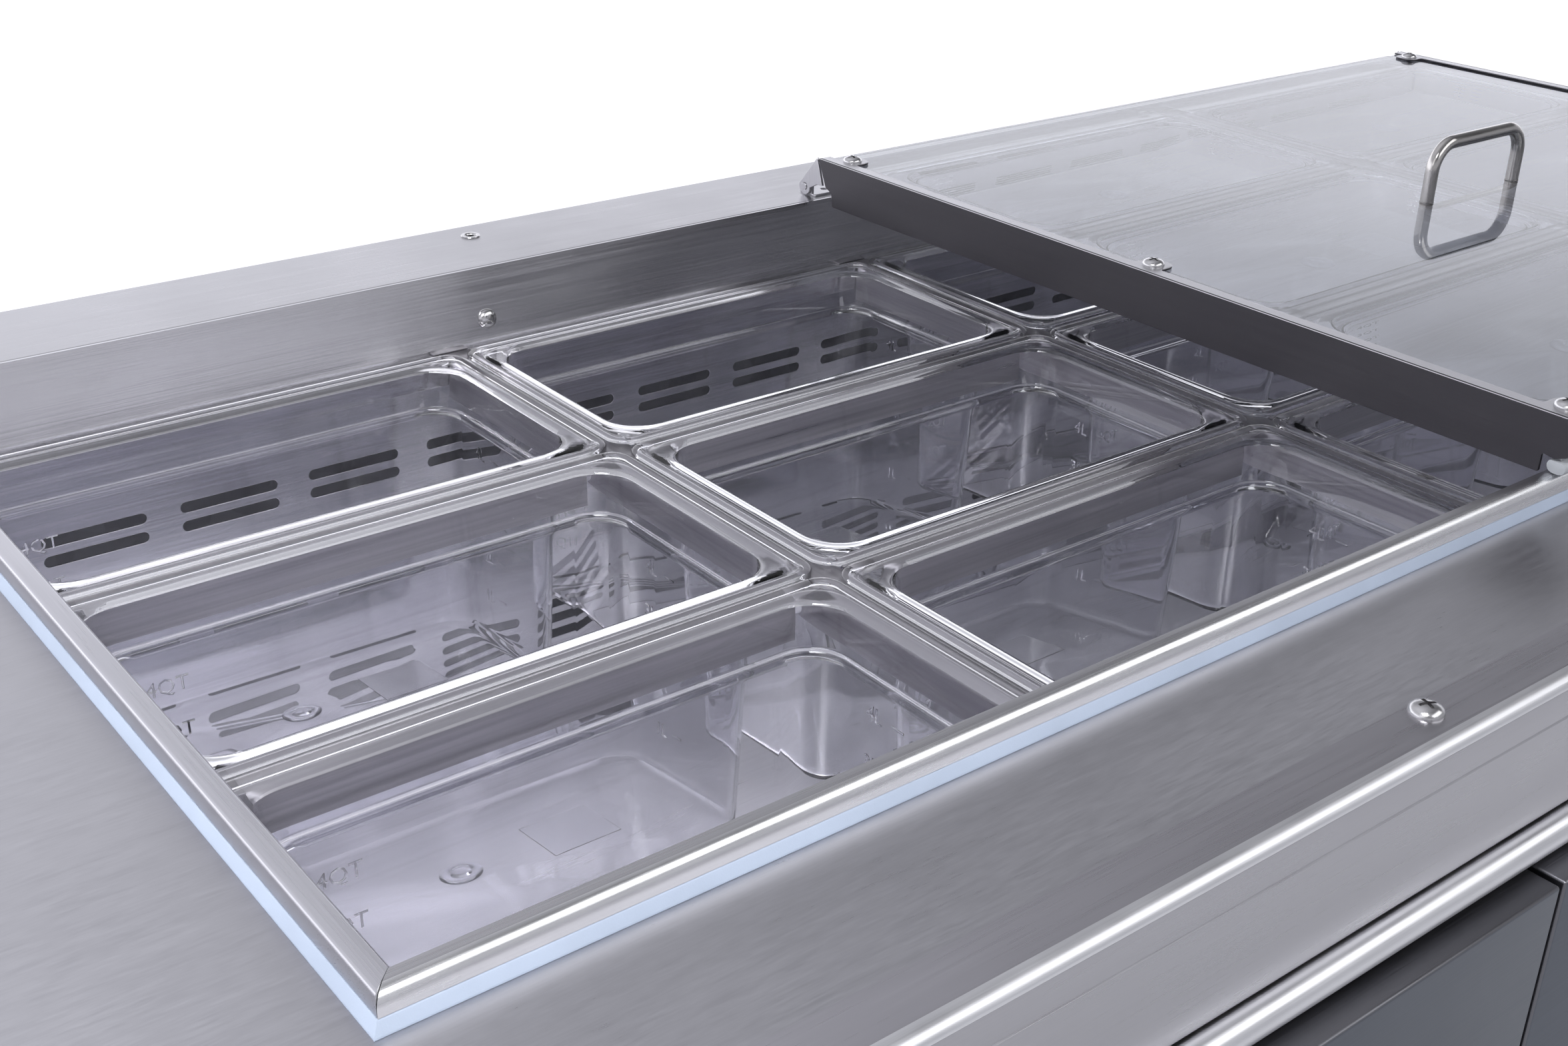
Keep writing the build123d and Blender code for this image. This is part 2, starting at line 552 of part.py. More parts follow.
CONDENSER_X = (-855.0, -590.0)
CONDENSER_Z = (200.0, 450.0)
CONDENSER_FAN = (-722.0, 325.0)
with BuildPart() as condenser:
    finned_coil(CONDENSER_X, (-350, -310), CONDENSER_Z, 24)
    slab((-858, -587), (-309.9, -306), (196, 454))
    with BuildSketch(Plane.XZ.offset(312)) as throat:
        with Locations(CONDENSER_FAN):
            Circle(112)
    extrude(throat.sketch, amount=-8, mode=Mode.SUBTRACT)
    slab((CONDENSER_FAN[0] - 8, CONDENSER_FAN[0] + 8), (-264, -258), (196, 454))
    for z in (196, 450):
        slab((CONDENSER_FAN[0] - 8, CONDENSER_FAN[0] + 8), (-306, -258), (z, z + 4))
    with BuildSketch(Plane.XZ.offset(262)) as can:
        with Locations(CONDENSER_FAN):
            Circle(30)
    extrude(can.sketch, amount=-45)
    with BuildSketch(Plane.XZ.offset(262)) as spindle:
        with Locations(CONDENSER_FAN):
            Circle(4)
    extrude(spindle.sketch, amount=38)
save(condenser.part, "condenser")

with BuildPart() as condenser_fan:
    bladed_fan(CONDENSER_FAN[0], CONDENSER_FAN[1], (-297, -269), 100, 5, 4.05)
save(condenser_fan.part, "condenser_fan")

with BuildPart() as compressor:
    with Locations((-722, 70, FLOOR_TOP + 18)):
        Cylinder(82, 150, align=(Align.CENTER, Align.CENTER, Align.MIN))
    fillet(compressor.edges().filter_by(GeomType.CIRCLE), 30)
    slab((-815, -629), (-15, 155), (FLOOR_TOP + 12, FLOOR_TOP + 18.5))
    for dx in (-75, 75):
        for dy in (-68, 68):
            with Locations((-722 + dx, 70 + dy, FLOOR_TOP)):
                Cylinder(11, 12.5, align=(Align.CENTER, Align.CENTER, Align.MIN))
save(compressor.part, "compressor")

PANEL_X = (-891.0, -514.0)
PANEL_FRONT = -386.0
CONTROL = (-700.0, 770.0)
with BuildPart() as grille_panel:
    slab(PANEL_X, (PANEL_FRONT, PANEL_FRONT + 2), DOOR_Z)
    for x in (PANEL_X[0], PANEL_X[1] - 2):
        slab((x, x + 2), (PANEL_FRONT, -337), DOOR_Z)
    for k in range(13):
        z = 215 + 34 * k
        slab((-860, -545), (PANEL_FRONT - 1, PANEL_FRONT + 3), (z, z + 14), mode=Mode.SUBTRACT)
        blade = [(PANEL_FRONT, z + 15), (PANEL_FRONT + 2, z + 15), (PANEL_FRONT + 14, z + 1), (PANEL_FRONT + 12, z + 1)]
        along_x(blade, (-861, -544))
    slab((CONTROL[0] - 37, CONTROL[0] + 37), (PANEL_FRONT - 1, PANEL_FRONT + 3),
         (CONTROL[1] - 15, CONTROL[1] + 15), mode=Mode.SUBTRACT)
save(grille_panel.part, "grille_panel")

BUTTON_X = (CONTROL[0] + 14, CONTROL[0] + 28)
with BuildPart() as controller:
    slab((CONTROL[0] - 40, CONTROL[0] + 40), (-389, PANEL_FRONT), (CONTROL[1] - 18, CONTROL[1] + 18))
    slab((CONTROL[0] - 36, CONTROL[0] + 36), (PANEL_FRONT, -335), (CONTROL[1] - 14, CONTROL[1] + 14))
    slab((CONTROL[0] - 34, CONTROL[0] + 6), (-390, -388.4), (CONTROL[1] - 11, CONTROL[1] + 11), mode=Mode.SUBTRACT)
    for x in BUTTON_X:
        slab((x - 5, x + 5), (-390, -384), (CONTROL[1] - 8, CONTROL[1] + 8), mode=Mode.SUBTRACT)
save(controller.part, "controller")

for name, x in zip(("button_down", "button_up"), BUTTON_X):
    with BuildPart() as button:
        slab((x - 4.7, x + 4.7), (-390, -385.8), (CONTROL[1] - 7.7, CONTROL[1] + 7.7))
    save(button.part, name)

with BuildPart() as cord_inlet:
    with BuildSketch(Plane.XZ.offset(14 - HALF_D)) as gland:
        with Locations(CORD_XZ):
            Circle(13)
            Circle(5, mode=Mode.SUBTRACT)
    extrude(gland.sketch, amount=-12)
save(cord_inlet.part, "cord_inlet")

# ---- fasteners of the worktop and well ----------------------------------
with BuildPart() as worktop_fasteners:
    with Locations(*[(x, -350.0, COUNTER_Z + SHEET) for x in (-719, -119, 481)]):
        Cylinder(7.5, 4.2, align=(Align.CENTER, Align.CENTER, Align.MIN))
    fillet(worktop_fasteners.faces().sort_by(Axis.Z)[-3:].edges(), 3.2)
    leaning_wall = Plane(origin=(0, 300.85, 908.6), x_dir=(1, 0, 0), z_dir=(0, -44.5, 8.3))
    with BuildSketch(leaning_wall) as heads:
        with Locations((-168, 0), (437, 0)):
            Circle(6.5)
    extrude(heads.sketch, amount=3.8)
    with Locations(*[(x, 368.0, RIM_Z) for x in (-680, -140, 400)]):
        Cylinder(6.5, 0.8, align=(Align.CENTER, Align.CENTER, Align.MIN))
        Cylinder(4.9, 9, align=(Align.CENTER, Align.CENTER, Align.MAX))
        Cylinder(3.2, 30, mode=Mode.SUBTRACT)
save(worktop_fasteners.part, "worktop_fasteners")
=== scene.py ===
import bpy
import bmesh
from math import atan2, cos, pi, radians, sin, tan
from mathutils import Matrix, Vector


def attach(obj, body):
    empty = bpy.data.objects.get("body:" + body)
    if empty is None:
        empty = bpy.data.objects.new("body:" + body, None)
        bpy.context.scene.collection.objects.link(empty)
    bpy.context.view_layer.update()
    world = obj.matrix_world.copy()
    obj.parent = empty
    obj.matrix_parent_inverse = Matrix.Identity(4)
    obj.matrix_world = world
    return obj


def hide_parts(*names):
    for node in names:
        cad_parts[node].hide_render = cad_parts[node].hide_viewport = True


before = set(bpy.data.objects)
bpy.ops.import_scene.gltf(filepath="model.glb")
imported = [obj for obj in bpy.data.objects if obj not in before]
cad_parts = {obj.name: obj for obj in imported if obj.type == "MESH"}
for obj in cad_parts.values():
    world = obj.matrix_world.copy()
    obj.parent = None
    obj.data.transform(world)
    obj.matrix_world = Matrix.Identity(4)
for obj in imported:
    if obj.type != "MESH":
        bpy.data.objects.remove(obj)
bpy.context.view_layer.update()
scene = bpy.context.scene
MM = 0.001                      # lengths below are in millimetres


# ---- camera
def place(name, data):
    """A new object in the scene."""
    made = bpy.data.objects.new(name, data)
    scene.collection.objects.link(made)
    return made


def add_camera():
    """The photograph's camera, solved on the grid of pan lips."""
    azimuth, tilt, roll = radians(-38.780), radians(25.996), radians(1.498)
    eye = (-0.70730, -0.67529, 1.30629)
    back = Vector((sin(azimuth) * cos(tilt), -cos(azimuth) * cos(tilt), sin(tilt)))
    right = Vector((cos(azimuth), sin(azimuth), 0))
    up = back.cross(right)
    across = right * cos(roll) + up * sin(roll)
    upward = up * cos(roll) - right * sin(roll)
    lens = bpy.data.cameras.new("camera")
    lens.sensor_width = 36.0
    lens.lens = 42.243
    lens.clip_start = 0.02
    lens.clip_end = 200
    turn = Matrix((across, upward, back)).transposed().to_4x4()
    scene.camera = place("camera", lens)
    scene.camera.matrix_world = Matrix.Translation(eye) @ turn


add_camera()


# ---- material helpers
def wire(tree, kind, inputs=None, **settings):
    """A shader node, with its settings and its inputs set or linked."""
    made = tree.nodes.new("ShaderNode" + kind)
    for key, value in settings.items():
        setattr(made, key, value)
    for key, value in (inputs or {}).items():
        if isinstance(value, bpy.types.NodeSocket):
            tree.links.new(value, made.inputs[key])
        else:
            made.inputs[key].default_value = value
    return made


def material(name, colour, rough, metal=0.0, more=None):
    made = bpy.data.materials.new(name)
    made.use_nodes = True
    tree = made.node_tree
    shader = tree.nodes["Principled BSDF"]
    shader.inputs["Base Color"].default_value = (*colour, 1)
    shader.inputs["Roughness"].default_value = rough
    shader.inputs["Metallic"].default_value = metal
    for key, value in (more or {}).items():
        shader.inputs[key].default_value = value
    return made, tree, shader


def noise(tree, scale, detail=3.0, stretch=(1, 1, 1), rough=0.55):
    coords = wire(tree, "TexCoord").outputs["Object"]
    placed = wire(tree, "Mapping", {"Vector": coords, "Scale": stretch}).outputs["Vector"]
    made = wire(tree, "TexNoise", {"Vector": placed, "Scale": scale, "Detail": detail, "Roughness": rough})
    return made.outputs[0]


def spread(tree, value, low, high, start=0.3, end=0.7):
    """value's usual range, carried to low..high."""
    made = wire(tree, "MapRange", {"Value": value, "From Min": start, "From Max": end,
                                   "To Min": low, "To Max": high})
    return made.outputs["Result"]


def add(tree, a, b, how="ADD"):
    """Two values put together, each a socket or a number."""
    return wire(tree, "Math", {0: a, 1: b}, operation=how).outputs[0]


def tinted(tree, shader, factor, low, high):
    """Base colour that runs from low to high with factor."""
    made = wire(tree, "Mix", {"Factor": factor}, data_type="RGBA")
    made.inputs["A"].default_value = (*low, 1)
    made.inputs["B"].default_value = (*high, 1)
    tree.links.new(made.outputs["Result"], shader.inputs["Base Color"])


def bumped(tree, shader, height, strength, distance):
    made = wire(tree, "Bump", {"Height": height, "Strength": strength, "Distance": distance})
    tree.links.new(made.outputs["Normal"], shader.inputs["Normal"])


HAIR = 0.014                    # a scratch's scale along the grain, against 1 across it


def brushed(name, colour, grain="x", rough=0.3, bump=0.12, tone=0.07, fine=1500, wavy=0.0, length=HAIR,
            metal=1.0):
    """Sheet steel with a linish along one axis, faint clouding and fine scratches."""
    made, tree, shader = material(name, colour, rough, metal,
                                  {"Anisotropic": 0.55, "Anisotropic Rotation": 0.25})
    axis = "xyz".index(grain)
    stretch = [length if k == axis else 1 for k in range(3)]
    hair = noise(tree, fine, 2, stretch)
    streak = noise(tree, fine * 0.22, 3, stretch)
    cloud = noise(tree, 7, 4)
    lines = add(tree, add(tree, hair, 0.6, "MULTIPLY"), add(tree, streak, 0.4, "MULTIPLY"))
    low = [c * (1 - tone) for c in colour]
    high = [min(1, c * (1 + tone)) for c in colour]
    tinted(tree, shader, spread(tree, lines, 0, 1), low, high)
    patchy = add(tree, spread(tree, lines, rough - 0.05, rough + 0.05), spread(tree, cloud, -0.03, 0.04))
    tree.links.new(patchy, shader.inputs["Roughness"])
    height = lines
    if wavy:
        height = add(tree, lines, add(tree, noise(tree, 9, 2), wavy, "MULTIPLY"))
    bumped(tree, shader, height, bump, 0.0006)
    way = wire(tree, "CombineXYZ", {axis: 1})
    tree.links.new(way.outputs[0], shader.inputs["Tangent"])
    return made


def polished(name, colour, rough):
    """Bright steel with hairline scratches and finger-wipe clouding."""
    made, tree, shader = material(name, colour, rough, 1.0)
    cloud = noise(tree, 22, 5)
    hair = noise(tree, 1800, 2, (HAIR, 1, 1))
    patchy = add(tree, spread(tree, cloud, rough - 0.04, rough + 0.05), spread(tree, hair, -0.02, 0.03))
    tree.links.new(patchy, shader.inputs["Roughness"])
    tinted(tree, shader, spread(tree, hair, 0, 1), [c * 0.95 for c in colour], colour)
    bumped(tree, shader, hair, 0.05, 0.0003)
    return made


def clear(name, colour, ior, rough=0.0, ripple=0.0):
    """Clear moulded plastic or glass. Lamps shine through it."""
    made, tree, shader = material(name, colour, rough, 0.0, {"IOR": ior, "Transmission Weight": 1.0})
    cloud = noise(tree, 30, 3)
    tree.links.new(spread(tree, cloud, rough, rough + 0.03), shader.inputs["Roughness"])
    if ripple:
        bumped(tree, shader, noise(tree, 14, 2), ripple, 0.002)
    through = wire(tree, "BsdfTransparent", {"Color": (*[0.6 + 0.4 * c for c in colour], 1)})
    lamp = wire(tree, "LightPath").outputs["Is Shadow Ray"]
    mix = wire(tree, "MixShader", {0: lamp})
    tree.links.new(shader.outputs[0], mix.inputs[1])
    tree.links.new(through.outputs[0], mix.inputs[2])
    tree.links.new(mix.outputs[0], tree.nodes["Material Output"].inputs["Surface"])
    return made


def moulded(name, colour, rough=0.5, grain_scale=900, bump=0.15):
    """Plastic, rubber or paint with a fine texture and slight mottling."""
    made, tree, shader = material(name, colour, rough)
    fine = noise(tree, grain_scale, 3)
    cloud = noise(tree, 12, 4)
    tinted(tree, shader, spread(tree, cloud, 0, 1), [c * 0.9 for c in colour],
           [min(1, c * 1.07) for c in colour])
    tree.links.new(spread(tree, cloud, rough - 0.06, rough + 0.06), shader.inputs["Roughness"])
    bumped(tree, shader, fine, bump, 0.0004)
    return made


def galvanised(name, colour):
    """Zinc-coated sheet with its spangle."""
    made, tree, shader = material(name, colour, 0.4, 0.85)
    coords = wire(tree, "TexCoord").outputs["Object"]
    cells = wire(tree, "TexVoronoi", {"Vector": coords, "Scale": 70.0}).outputs["Color"]
    shade = wire(tree, "RGBToBW", {"Color": cells}).outputs[0]
    tinted(tree, shader, shade, [c * 0.82 for c in colour], [min(1, c * 1.12) for c in colour])
    tree.links.new(spread(tree, shade, 0.34, 0.5, 0, 1), shader.inputs["Roughness"])
    bumped(tree, shader, noise(tree, 400, 3), 0.08, 0.0005)
    return made


STEEL = (0.54, 0.535, 0.555)
steel_deck = brushed("stainless_deck", (0.50, 0.495, 0.52), "x", rough=0.33, bump=0.02, tone=0.05, fine=1100,
                     length=0.09)
steel_x = brushed("stainless_grain_x", STEEL, "x")
steel_y = brushed("stainless_grain_y", STEEL, "y")
steel_z = brushed("stainless_grain_z", STEEL, "z")
steel_wall = brushed("stainless_well_wall", (0.60, 0.595, 0.615), "x", rough=0.17, tone=0.1, fine=700,
                     wavy=14.0)
# well tub: pale, partly diffuse steel, painted light that brightens the well's floor and walls
well_steel_painted_light = brushed("stainless_well_painted_light", (0.84, 0.83, 0.86), "x", rough=0.32, metal=0.75)
steel_bar = brushed("stainless_bar_x", (0.42, 0.41, 0.43), "x", rough=0.34, tone=0.2, fine=420)
steel_bar_y = brushed("stainless_bar_y", (0.36, 0.35, 0.37), "y", rough=0.34, tone=0.2, fine=420)
# hood end plates: near-black steel, painted shade
end_plate_painted_shade = brushed("stainless_painted_shade_y", (0.08, 0.077, 0.084), "y", rough=0.42, tone=0.05)
steel_strip = brushed("stainless_strip", (0.48, 0.47, 0.50), "x", rough=0.3, bump=0.012, tone=0.02)
steel_apron = brushed("stainless_apron", (0.49, 0.485, 0.51), "x", rough=0.3, bump=0.05, tone=0.03)
# door fronts and louvred front: near-black base colour, painted shade standing for the dim room they reflect
steel_front_painted_shade = brushed("stainless_front_painted_shade", (0.135, 0.147, 0.17), "x", rough=0.38, tone=0.09, fine=900)
steel_door_edge = brushed("stainless_door_edge", (0.18, 0.18, 0.195), "x", rough=0.32, tone=0.04)
steel_dark = brushed("stainless_shade", (0.20, 0.19, 0.19), "x", rough=0.35)
# lighter polished steel on the rim's front roll: painted sheen
steel_painted_sheen = polished("polished_steel_painted_sheen", (0.80, 0.80, 0.815), 0.24)
# polished rolled edges, lighter than the sheets they end: partly a polished finish, partly painted sheen
edge_steel_painted_sheen = polished("polished_edge_painted_sheen", (0.80, 0.80, 0.82), 0.34)
steel_rim = brushed("stainless_rim_y", (0.64, 0.635, 0.67), "y", rough=0.28, bump=0.06, tone=0.03)
screw_steel = polished("polished_screw", (0.55, 0.545, 0.55), 0.2)
rod_steel = polished("polished_rod", (0.47, 0.455, 0.44), 0.16)
pan_clear = clear("clear_polycarbonate", (0.965, 0.965, 0.99), 1.55)
pan_frosted = clear("frosted_polycarbonate", (0.985, 0.985, 1.0), 1.55, rough=0.14)
hood_clear = clear("safety_glass", (0.93, 0.96, 0.975), 1.5, ripple=0.02)
blue_rubber = moulded("blue_gasket", (0.38, 0.44, 0.54), 0.55, 1500, 0.1)
grey_rubber = moulded("grey_gasket", (0.42, 0.44, 0.46), 0.55, 1200, 0.12)
black_rubber = moulded("black_rubber", (0.02, 0.02, 0.022), 0.6, 700, 0.3)
wheel_rubber = moulded("wheel_rubber", (0.045, 0.045, 0.05), 0.55, 500, 0.3)
wheel_hub = moulded("wheel_hub", (0.32, 0.32, 0.33), 0.4, 600, 0.12)
zinc = galvanised("zinc_sheet", (0.55, 0.56, 0.58))
zinc_bright = polished("zinc_plate", (0.62, 0.62, 0.63), 0.28)
fins = brushed("aluminium_fin", (0.72, 0.73, 0.74), "z", rough=0.35)
black_plastic = moulded("black_plastic", (0.03, 0.03, 0.034), 0.45)
gloss_plastic = moulded("dark_gloss", (0.02, 0.02, 0.024), 0.18, 300, 0.02)
white_wire = moulded("coated_wire", (0.68, 0.68, 0.66), 0.35, 500, 0.08)
white_print = moulded("white_print", (0.75, 0.75, 0.75), 0.5, 900, 0.05)
black_paint = moulded("black_paint", (0.02, 0.02, 0.022), 0.3, 260, 0.25)


digit_light = material("digit_light", (0, 0, 0), 0.4, 0.0,
                       {"Emission Color": (0.15, 0.75, 1.0, 1), "Emission Strength": 2.5})[0]


# ---- mesh helpers
TURN = {
    "x": Matrix(((0, 0, 1, 0), (1, 0, 0, 0), (0, 1, 0, 0), (0, 0, 0, 1))),
    "y": Matrix(((1, 0, 0, 0), (0, 0, 1, 0), (0, 1, 0, 0), (0, 0, 0, 1))),
    "z": Matrix.Identity(4),
}


def rounded(points, radii, steps=5):
    """A closed outline with its corners rounded; radii is one number or one for each corner."""
    out = []
    for i, point in enumerate(points):
        r = radii[i] if isinstance(radii, (list, tuple)) else radii
        here = Vector(point)
        to_last = Vector(points[i - 1]) - here
        to_next = Vector(points[(i + 1) % len(points)]) - here
        bend = to_last.angle(to_next)
        if r <= 0 or bend > pi - 0.02:
            out.append(tuple(here))
            continue
        room = 0.49 * min(to_last.length, to_next.length)
        cut = min(r / tan(bend / 2), room)
        r = cut * tan(bend / 2)
        to_last.normalize()
        to_next.normalize()
        centre = here + (to_last + to_next).normalized() * r / sin(bend / 2)
        first = here + to_last * cut - centre
        last = here + to_next * cut - centre
        a = atan2(first.y, first.x)
        sweep = (atan2(last.y, last.x) - a + pi) % (2 * pi) - pi
        for k in range(steps + 1):
            t = a + sweep * k / steps
            out.append((centre.x + r * cos(t), centre.y + r * sin(t)))
    return out


def rectangle(x, y, r=0.0, steps=5):
    return rounded([(x[0], y[0]), (x[1], y[0]), (x[1], y[1]), (x[0], y[1])], r, steps)


def slot_hole(x, z, half_x, half_z, r):
    """A slot with round ends, as a hole for plate()."""
    return rectangle((x - half_x, x + half_x), (z - half_z, z + half_z), r, 6)[::-1]


def circle(centre, r, steps=24, clockwise=False, start=0.0):
    """A circle's outline, or with 6 steps a hexagon's."""
    way = -1 if clockwise else 1
    turns = [way * 2 * pi * k / steps + start for k in range(steps)]
    return [(centre[0] + r * cos(turn), centre[1] + r * sin(turn)) for turn in turns]


def turned(points, angle):
    """Points turned about the origin."""
    return [(u * cos(angle) - v * sin(angle), u * sin(angle) + v * cos(angle)) for u, v in points]


def arc(centre, r, first, last, steps):
    """Points on a circle, from first to last degrees."""
    turns = [radians(first + (last - first) * k / steps) for k in range(steps + 1)]
    return [(centre[0] + r * cos(turn), centre[1] + r * sin(turn)) for turn in turns]


def span(a, b):
    """A range from two ends in either order."""
    return min(a, b), max(a, b)


def ends(pair, thick):
    """The first and the last stretch of a range, each thick wide."""
    return (pair[0], pair[0] + thick), (pair[1] - thick, pair[1])


def prism(bm, outline, axis, low, high, bevel=0.0, segments=2, all_edges=False):
    """An outline across an axis, carried from low to high along it, with its end edges or all edges eased."""
    start = [bm.verts.new(TURN[axis] @ Vector((u, v, low))) for u, v in outline]
    end = [bm.verts.new(TURN[axis] @ Vector((u, v, high))) for u, v in outline]
    faces = [bm.faces.new(start), bm.faces.new(end[::-1])]
    for i in range(len(start)):
        j = (i + 1) % len(start)
        side = bm.faces.new((start[i], end[i], end[j], start[j]))
        if all_edges:
            faces.append(side)
    if bevel:
        edges = list({e for face in faces for e in face.edges})
        bmesh.ops.bevel(bm, geom=edges, offset=bevel, segments=segments, profile=0.5, affect="EDGES")


def block(bm, x, y, z, r=1.0, segments=2):
    """A box with all its edges rounded."""
    prism(bm, rectangle(x, y), "z", *z, r, segments, all_edges=True)


def add_mesh(bm, mesh, matrix=None):
    if matrix is not None:
        mesh.transform(matrix)
    bm.from_mesh(mesh)
    bpy.data.meshes.remove(mesh)


def evaluated(item):
    """The mesh that an object gives once its curve or modifiers are worked out."""
    bpy.context.view_layer.update()
    return bpy.data.meshes.new_from_object(item.evaluated_get(bpy.context.evaluated_depsgraph_get()))


def from_curve(curve):
    holder = place("holder", curve)
    mesh = evaluated(holder)
    bpy.data.objects.remove(holder)
    bpy.data.curves.remove(curve)
    return mesh


def plate(bm, outline, holes, axis, low, high, bevel=0.4, resolution=1):
    """A flat plate with holes and eased edges."""
    curve = bpy.data.curves.new("outline", "CURVE")
    curve.dimensions = "2D"
    curve.fill_mode = "BOTH"
    for loop in [outline] + holes:
        spline = curve.splines.new("POLY")
        spline.points.add(len(loop) - 1)
        for point, (u, v) in zip(spline.points, loop):
            point.co = (u, v, 0, 1)
        spline.use_cyclic_u = True
    curve.extrude = (high - low) / 2 - bevel
    curve.bevel_depth = bevel
    curve.bevel_resolution = resolution
    curve.offset = -bevel
    shift = Matrix.Translation((0, 0, (low + high) / 2))
    add_mesh(bm, from_curve(curve), TURN[axis] @ shift)


def lathe(bm, profile, centre, axis="z", steps=32):
    """A turned shape: (radius, height) pairs about an axis through centre."""
    loops = []
    turn = TURN[axis].to_3x3()
    for r, h in profile:
        ring = circle((0, 0), r, steps) if r else [(0, 0)]
        loops.append([bm.verts.new(Vector(centre) + turn @ Vector((u, v, h))) for u, v in ring])
    for a, b in zip(loops, loops[1:]):
        for k in range(steps):
            j = (k + 1) % steps
            if len(a) == 1:
                bm.faces.new((a[0], b[k], b[j]))
            elif len(b) == 1:
                bm.faces.new((a[k], b[0], a[j]))
            else:
                bm.faces.new((a[k], b[k], b[j], a[j]))


def cylinder(bm, r, low, high, centre, axis="z", steps=24):
    """A plain round bar from low to high."""
    lathe(bm, [(0, low), (r, low), (r, high), (0, high)], centre, axis, steps)


def rods(bm, lines, r, resolution=3):
    """Round rods, one along each line of points."""
    curve = bpy.data.curves.new("rods", "CURVE")
    curve.dimensions = "3D"
    for points in lines:
        spline = curve.splines.new("POLY")
        spline.points.add(len(points) - 1)
        for point, place in zip(spline.points, points):
            point.co = (*place, 1)
    curve.bevel_depth = r
    curve.bevel_resolution = resolution
    curve.use_fill_caps = True
    add_mesh(bm, from_curve(curve))


def loft(bm, rings, cap_ends=True):
    """A skin over rings that have the same number of points."""
    loops = [[bm.verts.new(p) for p in ring] for ring in rings]
    for a, b in zip(loops, loops[1:]):
        for k in range(len(a)):
            j = (k + 1) % len(a)
            bm.faces.new((a[k], b[k], b[j], a[j]))
    if cap_ends:
        bm.faces.new(loops[0])
        bm.faces.new(loops[-1][::-1])


def framed(bm, corners, profile, axis="z", closed=False, gap=0.12):
    """Straight arms with mitred corners. corners run with the frame's outside on their right.
    profile holds (distance outward, height) pairs, or one such list for each arm."""
    count = len(corners)
    arms = count if closed else count - 1
    for i in range(arms):
        a = Vector(corners[i])
        b = Vector(corners[(i + 1) % count])
        way = (b - a).normalized()
        out = Vector((way.y, -way.x))
        start, end = [], []
        first_mitre = closed or i > 0
        last_mitre = closed or i < arms - 1
        for d, h in profile[i] if isinstance(profile[0], list) else profile:
            p = a + out * d - way * (d - gap if first_mitre else 0)
            q = b + out * d + way * (d - gap if last_mitre else 0)
            start.append(TURN[axis] @ Vector((p.x, p.y, h)))
            end.append(TURN[axis] @ Vector((q.x, q.y, h)))
        loft(bm, [start, end])


def cut(bm, cutter):
    """bm with the cutter's solid taken away."""
    bodies = []
    for made in (bm, cutter):
        bmesh.ops.recalc_face_normals(made, faces=made.faces)
        mesh = bpy.data.meshes.new("cut")
        made.to_mesh(mesh)
        made.free()
        bodies.append(place("cut", mesh))
    tool = bodies[0].modifiers.new("cut", "BOOLEAN")
    tool.object = bodies[1]
    tool.operation = "DIFFERENCE"
    tool.solver = "EXACT"
    mesh = evaluated(bodies[0])
    for body in bodies:
        bpy.data.objects.remove(body)
    out = bmesh.new()
    add_mesh(out, mesh)
    return out


def finished(name, bm, mats, angle):
    """A mesh in metres from a bmesh in millimetres, smooth wherever it bends by less than angle."""
    bm.transform(Matrix.Scale(MM, 4))
    mesh = bpy.data.meshes.new(name)
    bm.to_mesh(mesh)
    bm.free()
    mesh.polygons.foreach_set("use_smooth", [True] * len(mesh.polygons))
    mesh.set_sharp_from_angle(angle=radians(angle))
    for mat in mats:
        mesh.materials.append(mat)
    return mesh


def piece(name, bm, mats, body, node=None, angle=32, pick=None):
    """Turns a bmesh in millimetres into a shown piece that rides on a CAD body.
    pick says which of the materials a face has, from the face and its centre."""
    bmesh.ops.recalc_face_normals(bm, faces=bm.faces)
    bm.normal_update()
    if pick:
        for face in bm.faces:
            face.material_index = pick(face, face.calc_center_median())
    made = place(name, finished(name, bm, mats if isinstance(mats, list) else [mats], angle))
    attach(made, body)
    if node:
        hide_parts(node)


# ---- sizes shared by the pieces
HALF_L = 895.0
BACK = 390.0
DECK_FRONT = -366.0
COUNTER_Z = 926.0
RIM_Z = 940.5
RIM_FOOT_Z = 931.1
LEDGE_FRONT = 308.4
WELL_X = (-522.0, 793.0)
WELL_FRONT = -260.3
WELL_BACK = 298.5
PAN_SEAT_Z = 891.4
SHEET = 1.5
RIVET_NUTS = [(x, 368.0) for x in (-680, -140, 400)]
DECK_SCREW_X = (-719, -119, 481)
DUCT_SCREW_X = (-168, 437)
COLUMN_X = (-359.0, -31.0, 297.0, 625.0)            # pans' centres
ROW_Y = (201.37, 19.63, -162.11)
BAR_X = (-195.0, 133.0, 461.0)
BAR_Y = (110.5, -71.24)
HOOD_X = (105.0, 789.5)
SCREW_X = (120.0, 774.5)
SCREW_Y = (288.4, 10.5, -258.5)
GLASS_X = (107.2, 787.3)
GLASS_Z = (962.8, 968.6)
PLATE_TOP = 970.4
PIVOT = (322.5, 947.0)                              # Y and Z of the hood's hinge
CORNERS = [(-1, -1), (-1, 1), (1, -1), (1, 1)]


